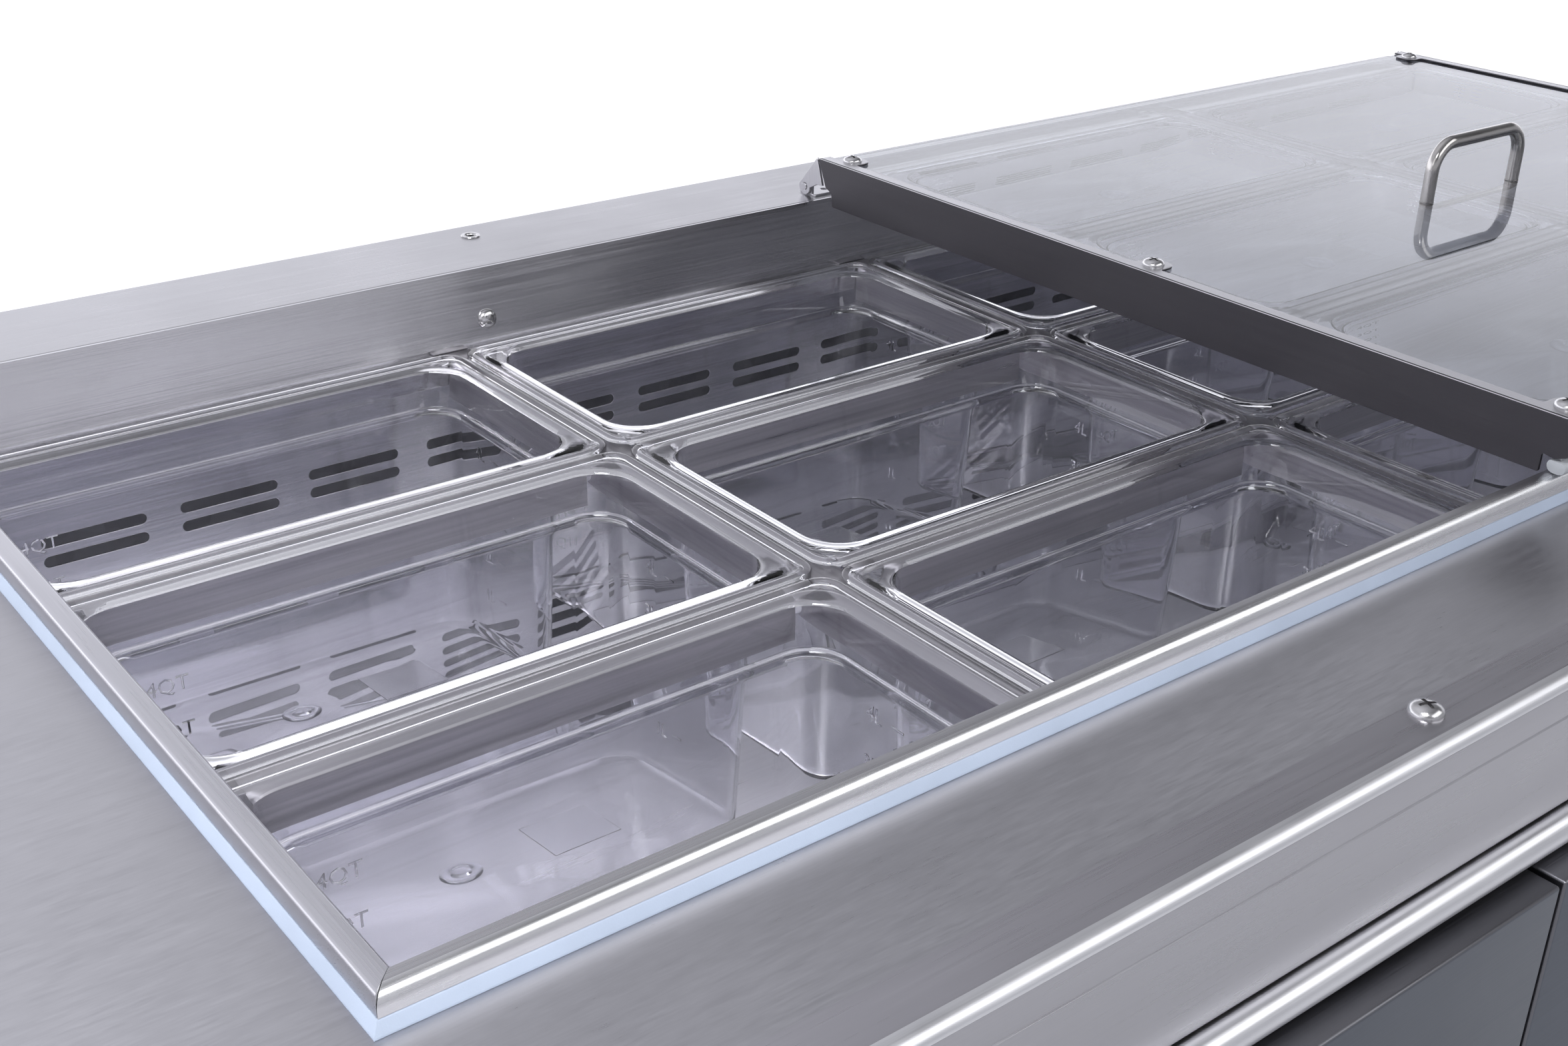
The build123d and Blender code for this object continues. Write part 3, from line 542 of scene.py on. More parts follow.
# ---- worktop
def build_worktop():
    bm = bmesh.new()
    room = 1.7
    hole = rectangle((WELL_X[0] - room, WELL_X[1] + room), (WELL_FRONT - room, 309.0), 3)[::-1]
    plate(bm, rectangle((-HALF_L, HALF_L), (DECK_FRONT, BACK), 2.5), [hole], "z", 885.0, COUNTER_Z, 1.2, 2)
    apron = [(DECK_FRONT, 921.8), (-369.6, 921.8), (-369.9, 907.9), (-369.2, 907.2), (-369.9, 906.5),
             (-371.4, 860.6), (-370.6, 859.2), (DECK_FRONT, 859.4)]
    prism(bm, rounded(apron, [0.3, 0.5, 0.3, 0.2, 0.3, 1.2, 0.6, 0.4], 3), "x", -HALF_L, HALF_L, 0.6)
    piece("worktop", bm, [steel_deck, steel_apron], "table", "counter_deck",
          pick=lambda face, at: int(at.y < DECK_FRONT - 0.2))

    bm = bmesh.new()
    roll = [(-362.0 - 8.0 * sin(radians(9 * k)), 922.2 + 5.3 * cos(radians(9 * k))) for k in range(11)]
    strip = [(-342.7, COUNTER_Z), (-342.7, 927.5)] + roll + [(-366.3, 922.0), (-366.3, COUNTER_Z)]
    prism(bm, strip, "x", -HALF_L, HALF_L, 0.4)
    # the strip's front-facing roll gets the lighter polished steel: painted sheen
    piece("worktop_front_strip", bm, [steel_strip, edge_steel_painted_sheen], "table", "front_strip",
          pick=lambda face, at: int(face.normal.y < -0.12))

    bm = bmesh.new()
    section = [(-335.5, 884.5), (-337.5, 884.5), (-337.5, 855.5), *arc((-373.5, 851), 7.6, 36.3, 323.7, 24),
               (-335.5, 846.5)]
    prism(bm, section, "x", -HALF_L, HALF_L, 0.5)
    # the rail's front gets the lighter polished steel with painted sheen; the web behind it gets the shade
    # material
    piece("front_nose_rail", bm, [edge_steel_painted_sheen, steel_dark], "table", "nose_rail",
          pick=lambda face, at: int(at.y > DECK_FRONT - 0.5))

    bm = bmesh.new()
    holes = [circle(spot, 4.95, clockwise=True) for spot in RIVET_NUTS]
    plate(bm, rectangle((-HALF_L, HALF_L), (LEDGE_FRONT, BACK), 1.5), holes, "z", COUNTER_Z, RIM_Z, 1.4, 3)
    for x in ((-HALF_L, WELL_X[0] - 10.2), (WELL_X[1] + 10.2, HALF_L)):
        block(bm, x, (LEDGE_FRONT - 1.6, LEDGE_FRONT + 1.4), (COUNTER_Z, RIM_Z), 0.7)
    piece("raised_back_ledge", bm, steel_x, "table", "back_ledge")


build_worktop()


# ---- rim
def build_rim():
    inside = [(WELL_X[0], 308.0), (WELL_X[0], WELL_FRONT), (WELL_X[1], WELL_FRONT), (WELL_X[1], 308.0)]
    # going this way round, the outside of the frame is on the right
    wide, roll = 10, 6.4
    inner = [(0.0, RIM_FOOT_Z), (0.0, 939.2), (1.3, RIM_Z)]
    side = rounded(inner + [(wide, RIM_Z), (wide, RIM_FOOT_Z)], [0.2, 0.4, 0.4, 1.6, 0.8], 6)
    front = inner + arc((wide - roll, RIM_Z - roll), roll, 90, 0, 10) + [(wide, RIM_FOOT_Z)]
    bm = bmesh.new()
    framed(bm, inside, [side, front, side])
    piece("raised_rim", bm, [steel_rim, steel_x, steel_painted_sheen, steel_apron], "table", "rim_frame",
          pick=rim_pick)

    bm = bmesh.new()
    section = rounded([(1.7, COUNTER_Z), (1.7, 930.9), (10.2, 930.9), (12.6, 926.8), (12.9, COUNTER_Z)],
                      [0, 0.2, 0.6, 0.8, 0.2], 4)
    framed(bm, inside, section, gap=0.0)
    piece("rim_bedding_strip", bm, blue_rubber, "table", "rim_gasket")


def rim_pick(face, at):
    """The front arm's rolled face gets lighter polished steel, a painted sheen line; the left arm's outer
    face is like the apron.
    """
    if at.y < WELL_FRONT + 0.2 and face.normal.y < -0.25:
        return 2
    if at.x < WELL_X[0] - 9.5 and face.normal.x < -0.5:
        return 3
    along_y = abs(at.y - 20) < 270 and (at.x < WELL_X[0] or at.x > WELL_X[1])
    return 0 if along_y else 1


build_rim()


# ---- well
def build_well():
    bm = bmesh.new()
    across = (WELL_X[0] - SHEET, WELL_X[1] + SHEET)
    wall_z = (664.5, 931.0)
    ends_y = 296.0
    block(bm, across, (WELL_FRONT - SHEET, 298.0), (663.5, 665.0), 0.3)
    block(bm, across, (WELL_FRONT - SHEET, WELL_FRONT), wall_z, 0.3)
    for x in ((across[0], WELL_X[0]), (WELL_X[1], across[1])):
        block(bm, x, (WELL_FRONT - 0.2, ends_y), wall_z, 0.3)
    lip = [(WELL_FRONT, 890), (WELL_FRONT, PAN_SEAT_Z), (-240.5, PAN_SEAT_Z), (-240.5, 880.0),
           (-241.7, 880.0), (-241.7, 890)]
    prism(bm, rounded(lip, [0, 0, 1.6, 0.3, 0.3, 0.8], 4), "x", *WELL_X)
    for wall, edge in ((WELL_X[0], WELL_X[0] + 12), (WELL_X[1], WELL_X[1] - 15)):
        block(bm, span(wall, edge), (WELL_FRONT, ends_y), (PAN_SEAT_Z - SHEET, PAN_SEAT_Z), 0.5)
    piece("well_tub", bm, well_steel_painted_light, "table", "well_liner")

    bm = bmesh.new()
    bend_z = 896.0
    slots = []
    for z in (836.0, 824.0, 719.0, 707.0, 695.0, 683.0):
        for k in range(15):
            slots.append(slot_hole(-428.0 + 80.3 * k, z, 30, 3.3, 3.25))
    plate(bm, rectangle(WELL_X, (665.0, bend_z + 0.3)), slots, "y", WELL_BACK, WELL_BACK + SHEET, 0.35, 1)
    lean = [(WELL_BACK, bend_z), (306.8, RIM_Z), (306.8 + SHEET, RIM_Z), (WELL_BACK + SHEET, bend_z)]
    prism(bm, lean, "x", *WELL_X)
    shelf = [(280.5, 880.0), (280.5, PAN_SEAT_Z), (298.6, PAN_SEAT_Z), (298.6, 889.9), (281.9, 889.9),
             (281.9, 880.0)]
    prism(bm, rounded(shelf, [0.3, 1.6, 0, 0, 0.8, 0.3], 4), "x", WELL_X[0] + 12.2, WELL_X[1] - 15.2)
    piece("air_duct_sheet", bm, steel_wall, "table", "air_duct_panel")

    top, foot, half, sheet = 892.7, 872.7, 12.0, 1.2
    channel = rounded([(-half, foot), (-half, top), (half, top), (half, foot), (half - sheet, foot),
                       (half - sheet, top - sheet), (sheet - half, top - sheet), (sheet - half, foot)],
                      [0.4, 2.4, 2.4, 0.4, 0.4, 1.2, 1.2, 0.4], 5)
    bm = bmesh.new()
    tab_z = (top - sheet, top)
    for x in BAR_X:
        prism(bm, [(u + x, v) for u, v in channel], "y", -239.0, 279.5)
        for y in ((WELL_FRONT + 0.6, -238.8), (279.3, 297.5)):
            block(bm, (x - half, x + half), y, tab_z, 0.4)
    piece("long_divider_bars", bm, steel_bar_y, "table", "long_bars")

    bm = bmesh.new()
    reach = 164.0 - 12.8
    for x in COLUMN_X:
        low, high = x - reach + 14, x + reach - 16
        for y in BAR_Y:
            prism(bm, [(u + y, v) for u, v in channel], "x", low, high)
            for tab_x in ((max(x - reach, WELL_X[0] + 0.5), low + 0.2),
                          (high - 0.2, min(x + reach, WELL_X[1] - 0.5))):
                block(bm, tab_x, (y - half, y + half), tab_z, 0.4)
    piece("cross_divider_bars", bm, steel_bar, "table", "cross_bars")


build_well()


# ---- pans
PAN_RINGS = [
    # half length, half width, corner radius, height: up the outside, over the lip, down the inside
    (132.8, 59.8, 18.0, 746.0), (136.9, 63.9, 21.0, 747.2), (139.1, 66.1, 23.0, 750.5),
    (142.9, 69.9, 23.0, 866.0), (143.6, 70.6, 23.5, 868.0), (146.6, 73.6, 24.0, 869.8),
    (147.8, 74.8, 24.0, 871.8), (148.6, 75.6, 24.0, 890.0), (149.2, 76.2, 24.5, 892.2),
    (150.8, 77.8, 25.0, 893.0), (159.4, 86.0, 12.0, 893.0), (160.2, 86.75, 11.0, 892.4),
    (160.3, 86.85, 11.0, 890.4), (160.8, 87.35, 11.4, 890.0), (162.2, 88.75, 12.0, 890.0),
    (162.7, 89.25, 12.2, 890.6), (162.7, 89.25, 12.2, 894.6), (162.3, 88.85, 12.0, 895.5),
    (161.3, 87.85, 11.6, 896.0), (158.8, 85.3, 11.0, 896.0), (157.8, 84.3, 11.0, 895.4),
    (157.2, 83.8, 11.5, 894.9), (155.4, 82.0, 14.0, 894.9), (154.6, 81.3, 16.0, 895.7),
    (153.2, 80.0, 19.0, 896.0), (150.8, 77.8, 23.0, 896.0), (148.6, 75.6, 23.6, 895.2),
    (147.1, 74.1, 23.0, 893.4), (146.3, 73.3, 22.0, 890.0), (145.2, 72.2, 21.6, 873.4),
    (144.9, 71.9, 21.4, 872.2), (144.1, 71.1, 21.4, 872.0), (143.3, 70.3, 21.2, 872.5),
    (142.3, 69.3, 21.0, 872.4), (141.6, 68.6, 20.8, 871.5), (141.2, 68.2, 20.6, 869.8),
    (140.6, 67.6, 20.5, 866.6), (136.7, 63.7, 20.0, 753.6), (135.0, 62.0, 19.0, 750.2),
    (131.0, 58.0, 16.0, 748.7),
]
PAN_DRAFT = 0.0345


def mark(bm, text, matrix):
    """A raised measuring mark."""
    curve = bpy.data.curves.new("mark", "FONT")
    curve.body = text
    curve.size = 11
    curve.extrude = 0.25
    curve.resolution_u = 2
    add_mesh(bm, from_curve(curve), matrix)


def build_pan_mesh():
    bm = bmesh.new()
    loft(bm, [[Vector((u, v, z)) for u, v in rectangle((-a, a), (-b, b), r, 9)] for a, b, r, z in PAN_RINGS])
    # scales of volume marks: quarts on the back wall, litres on the end wall
    upright = Matrix.Rotation(pi / 2 - radians(2.0), 4, "X")
    sideways = Matrix.Rotation(-pi / 2, 4, "Z")
    for k in range(4):
        z = 770 + 25 * k
        wall_y = 63.8 + (z - 753.6) * PAN_DRAFT
        mark(bm, f"{k + 1}QT", Matrix.Translation((-118, wall_y, z)) @ upright)
        block(bm, (-132, -122), (wall_y - 0.35, wall_y + 0.25), (z + 3.0, z + 4.2), 0.15, 1)
    for k in range(4):
        z = 772 + 26.5 * k
        wall_x = 136.8 + (z - 753.6) * PAN_DRAFT
        mark(bm, f"{k + 1}L", Matrix.Translation((wall_x, 30, z)) @ sideways @ upright)
        block(bm, (wall_x - 0.35, wall_x + 0.25), (4, 12), (z + 3.0, z + 4.2), 0.15, 1)
    # boss at the centre of the floor
    lathe(bm, [(0, 748.8), (11.2, 748.8), (11.2, 749.1), (9.8, 749.9), (7.4, 749.7), (5.6, 749.2),
               (4.2, 749.9), (2.6, 750.2), (0, 750.3)], (0, 0, 0))
    # little corner marks on the lip
    for sx, sy in CORNERS:
        corner = [(sx * u, sy * v) for u, v in ((155.6, 77.0), (155.6, 82.2), (150.0, 82.2))]
        prism(bm, corner, "z", 896.02, 896.4)
    # a frosted pad on the floor
    clear_faces = set(bm.faces)
    block(bm, (44, 84), (-20, 20), (748.8, 749.3), 0.2, 1)
    for face in bm.faces:
        face.material_index = int(face not in clear_faces)
    bmesh.ops.recalc_face_normals(bm, faces=bm.faces)
    return finished("food_pan", bm, [pan_clear, pan_frosted], 40)


def build_pans():
    mesh = build_pan_mesh()
    for column, x in enumerate(COLUMN_X, start=1):
        for row, y in zip("abc", ROW_Y):
            pan = place(f"food_pan_{row}{column}", mesh)
            pan.location = (x * MM, y * MM, 0)
            lifts = column <= 2
            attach(pan, f"pan_{row}{column}" if lifts else "table")
            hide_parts(f"pan_{row}{column}" if lifts else "covered_pans")


build_pans()


# ---- fasteners
def screw_head(r, h):
    """A domed head with a cross recess, on the origin, pointing up."""
    bm = bmesh.new()
    dome = [(0, 0), (r, 0), (r, h * 0.16), (r * 0.97, h * 0.32), (r * 0.88, h * 0.58), (r * 0.7, h * 0.8),
            (r * 0.45, h * 0.94), (r * 0.2, h), (0, h)]
    lathe(bm, dome, (0, 0, 0), steps=40)
    cross = bmesh.new()
    arm, width = r * 0.52, r * 0.11
    outline = []
    for k in range(4):
        outline += turned([(arm, -width), (arm, width), (width, width)], k * pi / 2 + 0.5)
    prism(cross, outline, "z", h * 0.35, h * 1.5)
    return cut(bm, cross)


def copies(bm, source, matrices):
    """Adds the source mesh to bm at each matrix."""
    mesh = bpy.data.meshes.new("copy")
    source.to_mesh(mesh)
    source.free()
    for matrix in matrices:
        add_mesh(bm, mesh.copy(), matrix)
    bpy.data.meshes.remove(mesh)


def build_fasteners():
    bm = bmesh.new()
    spots = [Matrix.Translation((x, -350.0, 927.5)) @ Matrix.Rotation(k * 0.7, 4, "Z")
             for k, x in enumerate(DECK_SCREW_X)]
    copies(bm, screw_head(7.4, 4.2), spots)
    tilt = Matrix.Rotation(radians(90 - 10.6), 4, "X")
    spots = [Matrix.Translation((x, 300.75, 908.6)) @ tilt @ Matrix.Rotation(k + 0.3, 4, "Z")
             for k, x in enumerate(DUCT_SCREW_X)]
    copies(bm, screw_head(6.4, 3.7), spots)
    for x, y in RIVET_NUTS:
        lathe(bm, [(3.3, 931.6), (4.85, 931.6), (4.85, RIM_Z), (6.3, 940.55), (6.4, 940.9), (6.1, 941.3),
                   (4.2, 941.3), (3.4, 940.6), (3.2, 939.8), (3.4, 939.0), (3.2, 938.2), (3.4, 937.4),
                   (3.2, 936.6), (3.3, 931.6)], (x, y, 0), steps=28)
    piece("worktop_screws_and_nuts", bm, screw_steel, "table", "worktop_fasteners", 36)

    bm = bmesh.new()
    spots = [(x, y) for x in SCREW_X for y in SCREW_Y]
    copies(bm, screw_head(6.6, 3.4), [Matrix.Translation((x, y, PLATE_TOP + 0.05))
                                      @ Matrix.Rotation(x * 0.3 + y, 4, "Z") for x, y in spots])
    for x, y in spots:
        cylinder(bm, 3.0, 958.8, PLATE_TOP, (x, y, 0), steps=16)
        prism(bm, circle((x, y), 5.4, 6), "z", 958.9, 962.5, 0.5)
    piece("hood_screws_and_nuts", bm, screw_steel, "hood", "hood_screws", 36)


build_fasteners()


# ---- glass hood
def build_end_plate(name, node, outer, inward):
    """A plate on edge, and a flat flange with a tongue under each screw."""
    front, back, narrow, wide = -275.5, 306.8, 10, 25
    outline = [(front, PLATE_TOP), (front, 957.0), (-271.5, 950.5), (-265.0, 948.0), (-258.3, 949.0),
               (-258.3, 938.8), (291.4, 938.8), (292.7, 948.6), (299.0, 951.0), (307.0, 968.4),
               (307.0, PLATE_TOP)]
    bm = bmesh.new()
    plate(bm, rounded(outline, [0, 3, 3, 2, 1.2, 1, 1, 1.5, 1.5, 0.3, 0], 4), [], "x",
          *span(outer, outer + 2 * inward), 0.35, 1)
    edge = [(0.2, front), (narrow, front)]
    radii = [0, 2]
    for y in reversed(SCREW_Y):
        low, high = max(y - 10, front), min(y + 10, back)
        edge += [(narrow, low), (wide, low), (wide, high), (narrow, high)]
        radii += [2, 9.5, 9.5, 2]
    edge += [(narrow, back), (0.2, back)]
    radii += [0, 0]
    flange = [(outer + inward * u, v) for u, v in rounded(edge, radii, 8)]
    plate(bm, flange, [], "z", GLASS_Z[1] + 0.25, PLATE_TOP, 0.45, 2)
    # the plate's sides and edges carry painted shade; only the flange's upward faces get the plain steel
    piece(name, bm, [end_plate_painted_shade, steel_y], "hood", node,
          pick=lambda face, at: int(at.z > 969.0 and face.normal.z > 0.3))


def build_hood():
    bm = bmesh.new()
    plate(bm, rectangle(GLASS_X, (-274.0, 306.0), 2.0), [], "z", *GLASS_Z, 0.7, 3)
    piece("hood_pane", bm, hood_clear, "hood", "hood_glass", 50)

    build_end_plate("hood_left_end", "hood_end_left", HOOD_X[0], 1)
    build_end_plate("hood_right_end", "hood_end_right", HOOD_X[1], -1)

    bm = bmesh.new()
    leg = [(309.5, 970.3), *arc(PIVOT, 6, 10, -180, 16), (309.0, 951.0), (303.0, 951.5), (308.0, 967.0)]
    for x in (HOOD_X[0], HOOD_X[1] - 2):
        plate(bm, leg[::-1], [circle(PIVOT, 2.6, 20)], "x", x, x + 2, 0.35, 1)
    piece("hood_leg_pair", bm, steel_z, "hood", "hood_feet")

    bm = bmesh.new()
    for foot_x, inward in ((HOOD_X[0], 1), (HOOD_X[1] - 2, -1)):
        face = foot_x + 2.5 if inward > 0 else foot_x - 0.5
        base = span(face, face + 28 * inward)
        ear = span(face, face + 2 * inward)
        hole = circle(((base[0] + base[1]) / 2 + 2 * inward, 323), 2.4, 16, True)
        plate(bm, rectangle(base, (314, 332), 3), [hole], "z", RIM_Z, RIM_Z + 1.5, 0.4, 1)
        outline = [(317.0, 941.0), (328.0, 941.0), *arc(PIVOT, 5.5, 0, 180, 14)]
        plate(bm, outline, [], "x", *ear, 0.35, 1)
        low = min(ear[0], foot_x - 1)
        high = max(ear[1], foot_x + 3)
        lathe(bm, [(0, low), (2.2, low), (2.5, low + 0.3), (2.5, high - 0.3), (2.2, high), (0, high)],
              (0, PIVOT[0], PIVOT[1]), "x", 24)
    piece("hood_hinge_brackets", bm, steel_z, "table", "hinge_brackets")

    bm = bmesh.new()
    y, left, right, rod_r = 0.8, 381.5, 482.5, 4.5
    for seat, way, tall in ((GLASS_Z[1], 1, 38.5), (GLASS_Z[0], -1, 27.5)):
        bar = seat + way * tall
        bent = rounded([(left, seat), (left, bar), (right, bar), (right, seat)], [0, 18, 18, 0], 12)
        rods(bm, [[(u, y, v) for u, v in bent]], rod_r, 8)
        for x in (left, right):
            lathe(bm, [(rod_r, seat + way * 0.9), (rod_r + 0.25, seat + way * 0.8),
                       (rod_r + 0.25, seat + way * 0.3), (rod_r, seat + way * 0.05)], (x, y, 0))
    for x in (left, right):
        cylinder(bm, 3.0, GLASS_Z[0] + 0.1, GLASS_Z[1] - 0.1, (x, y, 0))
    piece("hood_lift_handle", bm, rod_steel, "hood", "hood_handle")

    bm = bmesh.new()
    y, z, thick = (-268.0, -250.0), (947.2, 962.7), 1.6
    angle = [(y[0], z[0]), (y[0], z[1]), (y[1], z[1]), (y[1], z[1] - thick), (y[0] + thick, z[1] - thick),
             (y[0] + thick, z[0])]
    prism(bm, rounded(angle, [0.3, 1.6, 0.3, 0.3, 0.8, 0.3], 4), "x", SCREW_X[0] + 7, SCREW_X[1] - 7, 0.3)
    for x in ((GLASS_X[0], SCREW_X[0] + 7.2), (SCREW_X[1] - 7.2, GLASS_X[1])):
        block(bm, x, (y[0], y[0] + thick), z, 0.4)
    piece("hood_front_angle", bm, steel_x, "hood", "hood_front_rail")

    bm = bmesh.new()
    bulb = rounded([(-272, 940.8), (-272, 947.1), (-262, 947.1), (-262, 940.8)], [3.0, 2.0, 2.0, 3.0], 6)
    prism(bm, bulb, "x", HOOD_X[0] + 0.1, HOOD_X[1] - 0.1, 0.5)
    piece("hood_front_seal", bm, grey_rubber, "hood", "hood_seal")


build_hood()


# ---- doors
DOORS = [(-510.0, -54.0), (-50.0, 406.0), (410.0, 866.0)]
DOOR_Y = (-390.0, -346.0)
DOOR_Z = (165.0, 838.0)
DOOR_HINGE_X = (-502.0, 398.0, 858.0)
DOOR_PIN_Y = -384.0


def build_pull(middle):
    """A cupped pull set into a door's skin."""
    def loop(half, low, high, r=6):
        return rectangle((middle - half, middle + half), (low, high), r, 8)

    bm = bmesh.new()
    plate(bm, loop(74.6, 742.4, 785.6, 8), [loop(70, 747.0, 781.0)[::-1]], "y", DOOR_Y[0], DOOR_Y[0] + 1.8,
          0.6, 2)
    floor, outside = loop(66, 752.0, 776.0), loop(74, 743, 785, 8)
    front_y, back_y = -369.6, -368.4
    cup = ((loop(70.4, 746.6, 781.4), -388.6), (loop(69, 748.4, 779.0), -373.0), (floor, front_y),
           (floor, back_y), (outside, -369.0), (outside, -388.4))
    loft(bm, [[Vector((u, y, v)) for u, v in ring] for ring, y in cup], cap_ends=False)
    for y in (front_y, back_y):
        bm.faces.new([bm.verts.new((u, y, v)) for u, v in floor])
    return bm


def build_doors():
    for number, (low, high) in enumerate(DOORS, start=1):
        middle = (low + high) / 2
        body = f"door_{number}"
        bm = bmesh.new()
        block(bm, (low, high), DOOR_Y, DOOR_Z, 1.6, 3)
        pocket = bmesh.new()
        block(pocket, (middle - 74.8, middle + 74.8), (-400.0, -368.1), (742.2, 785.8), 0)
        for z in reversed(DOOR_Z):
            prism(pocket, circle((DOOR_HINGE_X[number - 1], DOOR_PIN_Y), 3.2), "z", z - 16, z + 16)
        bm = cut(bm, pocket)
        piece(f"door_{number}_shell", bm, [steel_front_painted_shade, steel_door_edge, zinc], body, body,
              pick=lambda face, at: 0 if face.normal.y < -0.9 else 2 if face.normal.y > 0.9 else 1)

        piece(f"door_{number}_pull", build_pull(middle), black_plastic, body)

        bm = bmesh.new()
        inside = [(high - 26, 215.0), (high - 26, 814.0), (low + 26, 814.0), (low + 26, 215.0)]
        bellows = [(0, DOOR_Y[1]), (0, -344.5), (1.5, -342.0), (0.6, -339.5), (1.8, -336.6), (12.5, -336.0),
                   (13.5, -338.0), (12.2, -340.5), (16.0, -343.0), (17.8, DOOR_Y[1])]
        framed(bm, inside, bellows, "y", closed=True, gap=0.0)
        piece(f"door_{number}_seal", bm, grey_rubber, body, f"door_gasket_{number}")


build_doors()


# ---- cabinet
WALL_Z = (190.0, 885.0)
WALL_FRONT = -315.0
INNER_BACK = 350.0
BACK_SHEET_Y = 376.0
GLAND = (-760.0, 240.0)


def hinge_plates(bm, z, pin):
    """Plates that stand out under or over the doors, each with its pin."""
    for x in DOOR_HINGE_X:
        plate(bm, rectangle((x - 10, x + 10), (-389, -334.6), [8, 8, 0, 0], 6), [], "z", *z, 0.4, 1)
        lathe(bm, [(0, pin[0]), (2.5, pin[0]), (3.0, pin[0] + 0.5), (3.0, pin[1] - 0.5), (2.5, pin[1]),
                   (0, pin[1])], (x, DOOR_PIN_Y, 0), steps=24)


def build_back():
    """Two zinc sheets, held by screws in dimples; the one over the machine bay has vent slots."""
    seam = -560.0
    screws = {(-HALF_L, seam - 0.6): (-878.0, -577.0), (seam + 0.6, HALF_L): (-543.0, -74.0, 395.0, 878.0)}
    bm = bmesh.new()
    heads = bmesh.new()
    for sheet, places in screws.items():
        spots = [(x, z) for x in places for z in (207.0, 537.0, 868.0)]
        holes = [circle(spot, 6.5, 24, True) for spot in spots]
        if sheet[1] < seam:
            holes.append(circle(GLAND, 29.8, 40, True))
            holes += [slot_hole(x, z, 62, 3.5, 3.45) for x in (-808.0, -647.0) for z in range(600, 820, 18)]
        plate(bm, rectangle(sheet, WALL_Z, 1.0), holes, "y", BACK_SHEET_Y, BACK, 1.0, 2)
        for x, z in spots:
            lathe(heads, [(0, 389.4), (2.2, 389.3), (4.2, 388.4), (5.2, 386.6), (5.3, 384.0), (6.6, 383.8),
                          (6.6, 376.1), (0, 376.1)], (x, 0, z), "y", 24)
    block(bm, (-HALF_L, HALF_L), (INNER_BACK, BACK_SHEET_Y + 0.2), WALL_Z, 1.0, 1)
    piece("back_sheet", bm, zinc, "table", "back_panel")
    piece("back_sheet_screws", heads, screw_steel, "table")


def build_cabinet():
    bm = bmesh.new()
    block(bm, (-HALF_L, HALF_L), (-335.0, BACK), (150.0, 190.0), 1.5, 2)
    hinge_plates(bm, (158.0, 162.0), (158.5, 178.8))
    piece("cabinet_base", bm, zinc, "table", "cabinet_floor")
    for name, node, x, front in (("left_side", "left_side_panel", (-HALF_L, -875.0), -335.0),
                                 ("right_side", "right_side_panel", (845.0, HALF_L), WALL_FRONT)):
        bm = bmesh.new()
        block(bm, x, (front, INNER_BACK), WALL_Z, 1.2, 2)
        piece(name, bm, steel_z, "table", node)
    build_back()
    bm = bmesh.new()
    block(bm, (-570.0, -530.0), (WALL_FRONT, INNER_BACK), WALL_Z, 1.0, 1)
    piece("machine_bay_wall", bm, zinc, "table", "bay_partition")
    bm = bmesh.new()
    openings = [rectangle(x, (205.0, 816.0), 4)[::-1]
                for x in ((-488.0, -74.0), (-30.0, 386.0), (430.0, 844.0))]
    plate(bm, rectangle((-570.0, HALF_L), WALL_Z, 1.0), openings, "y", -335.5, WALL_FRONT, 1.0, 2)
    hinge_plates(bm, (839.8, 842.6), (824.2, 842.0))
    piece("front_frame", bm, steel_x, "table", "door_frame")

    # a cable gland in the recess at the back
    bm = bmesh.new()
    plate(bm, circle(GLAND, 13.0, 6), [circle(GLAND, 7.6, 24, True)], "y", 376.1, 381.0, 0.6, 2)
    lathe(bm, [(7.4, 376.4), (10.6, 381.0), (11.2, 382.0), (11.2, 384.4), (9.6, 386.8), (7.4, 388.0),
               (5.6, 387.6), (5.0, 386.4), (5.0, 376.4), (7.4, 376.4)], (GLAND[0], 0, GLAND[1]), "y", 36)
    for x, z in circle(GLAND, 11.2, 12):
        block(bm, (x - 0.7, x + 0.7), (381.6, 385.0), (z - 0.7, z + 0.7), 0.3, 1)
    piece("cord_gland", bm, black_plastic, "table", "cord_inlet")


build_cabinet()


# ---- shelves and casters
def build_shelves():
    bm = bmesh.new()
    thick, side, thin = [], [], []
    for low, high in ((-522.0, -60.0), (-44.0, 400.0), (416.0, 837.0)):
        thick += [[(low, y, 466.0), (high, y, 466.0)] for y in (-300.0, -10.0, 240.0)]
        side += [[(x, -304.0, 467.0), (x, 244.0, 467.0)] for x in (low + 3, high - 3)]
        count = int((high - low - 30) // 42)
        for k in range(1, 2 * count + 2):
            x = low + (high - low) * k / (2 * count + 2)
            thin.append([(x, -303.0, 464.6), (x, -303.4, 468.6), (x, -302.0, 470.0), (x, 242.0, 470.0),
                         (x, 243.4, 468.6), (x, 243.0, 464.6)])
    rods(bm, thick, 4.0)
    rods(bm, side, 3.0)
    rods(bm, thin, 1.9)
    piece("coated_wire_shelves", bm, white_wire, "table", "wire_shelves", 50)


CASTERS = [(-820.0, -290.0), (820.0, -290.0), (-820.0, 300.0), (820.0, 300.0)]
AXLE_Z = 50.0


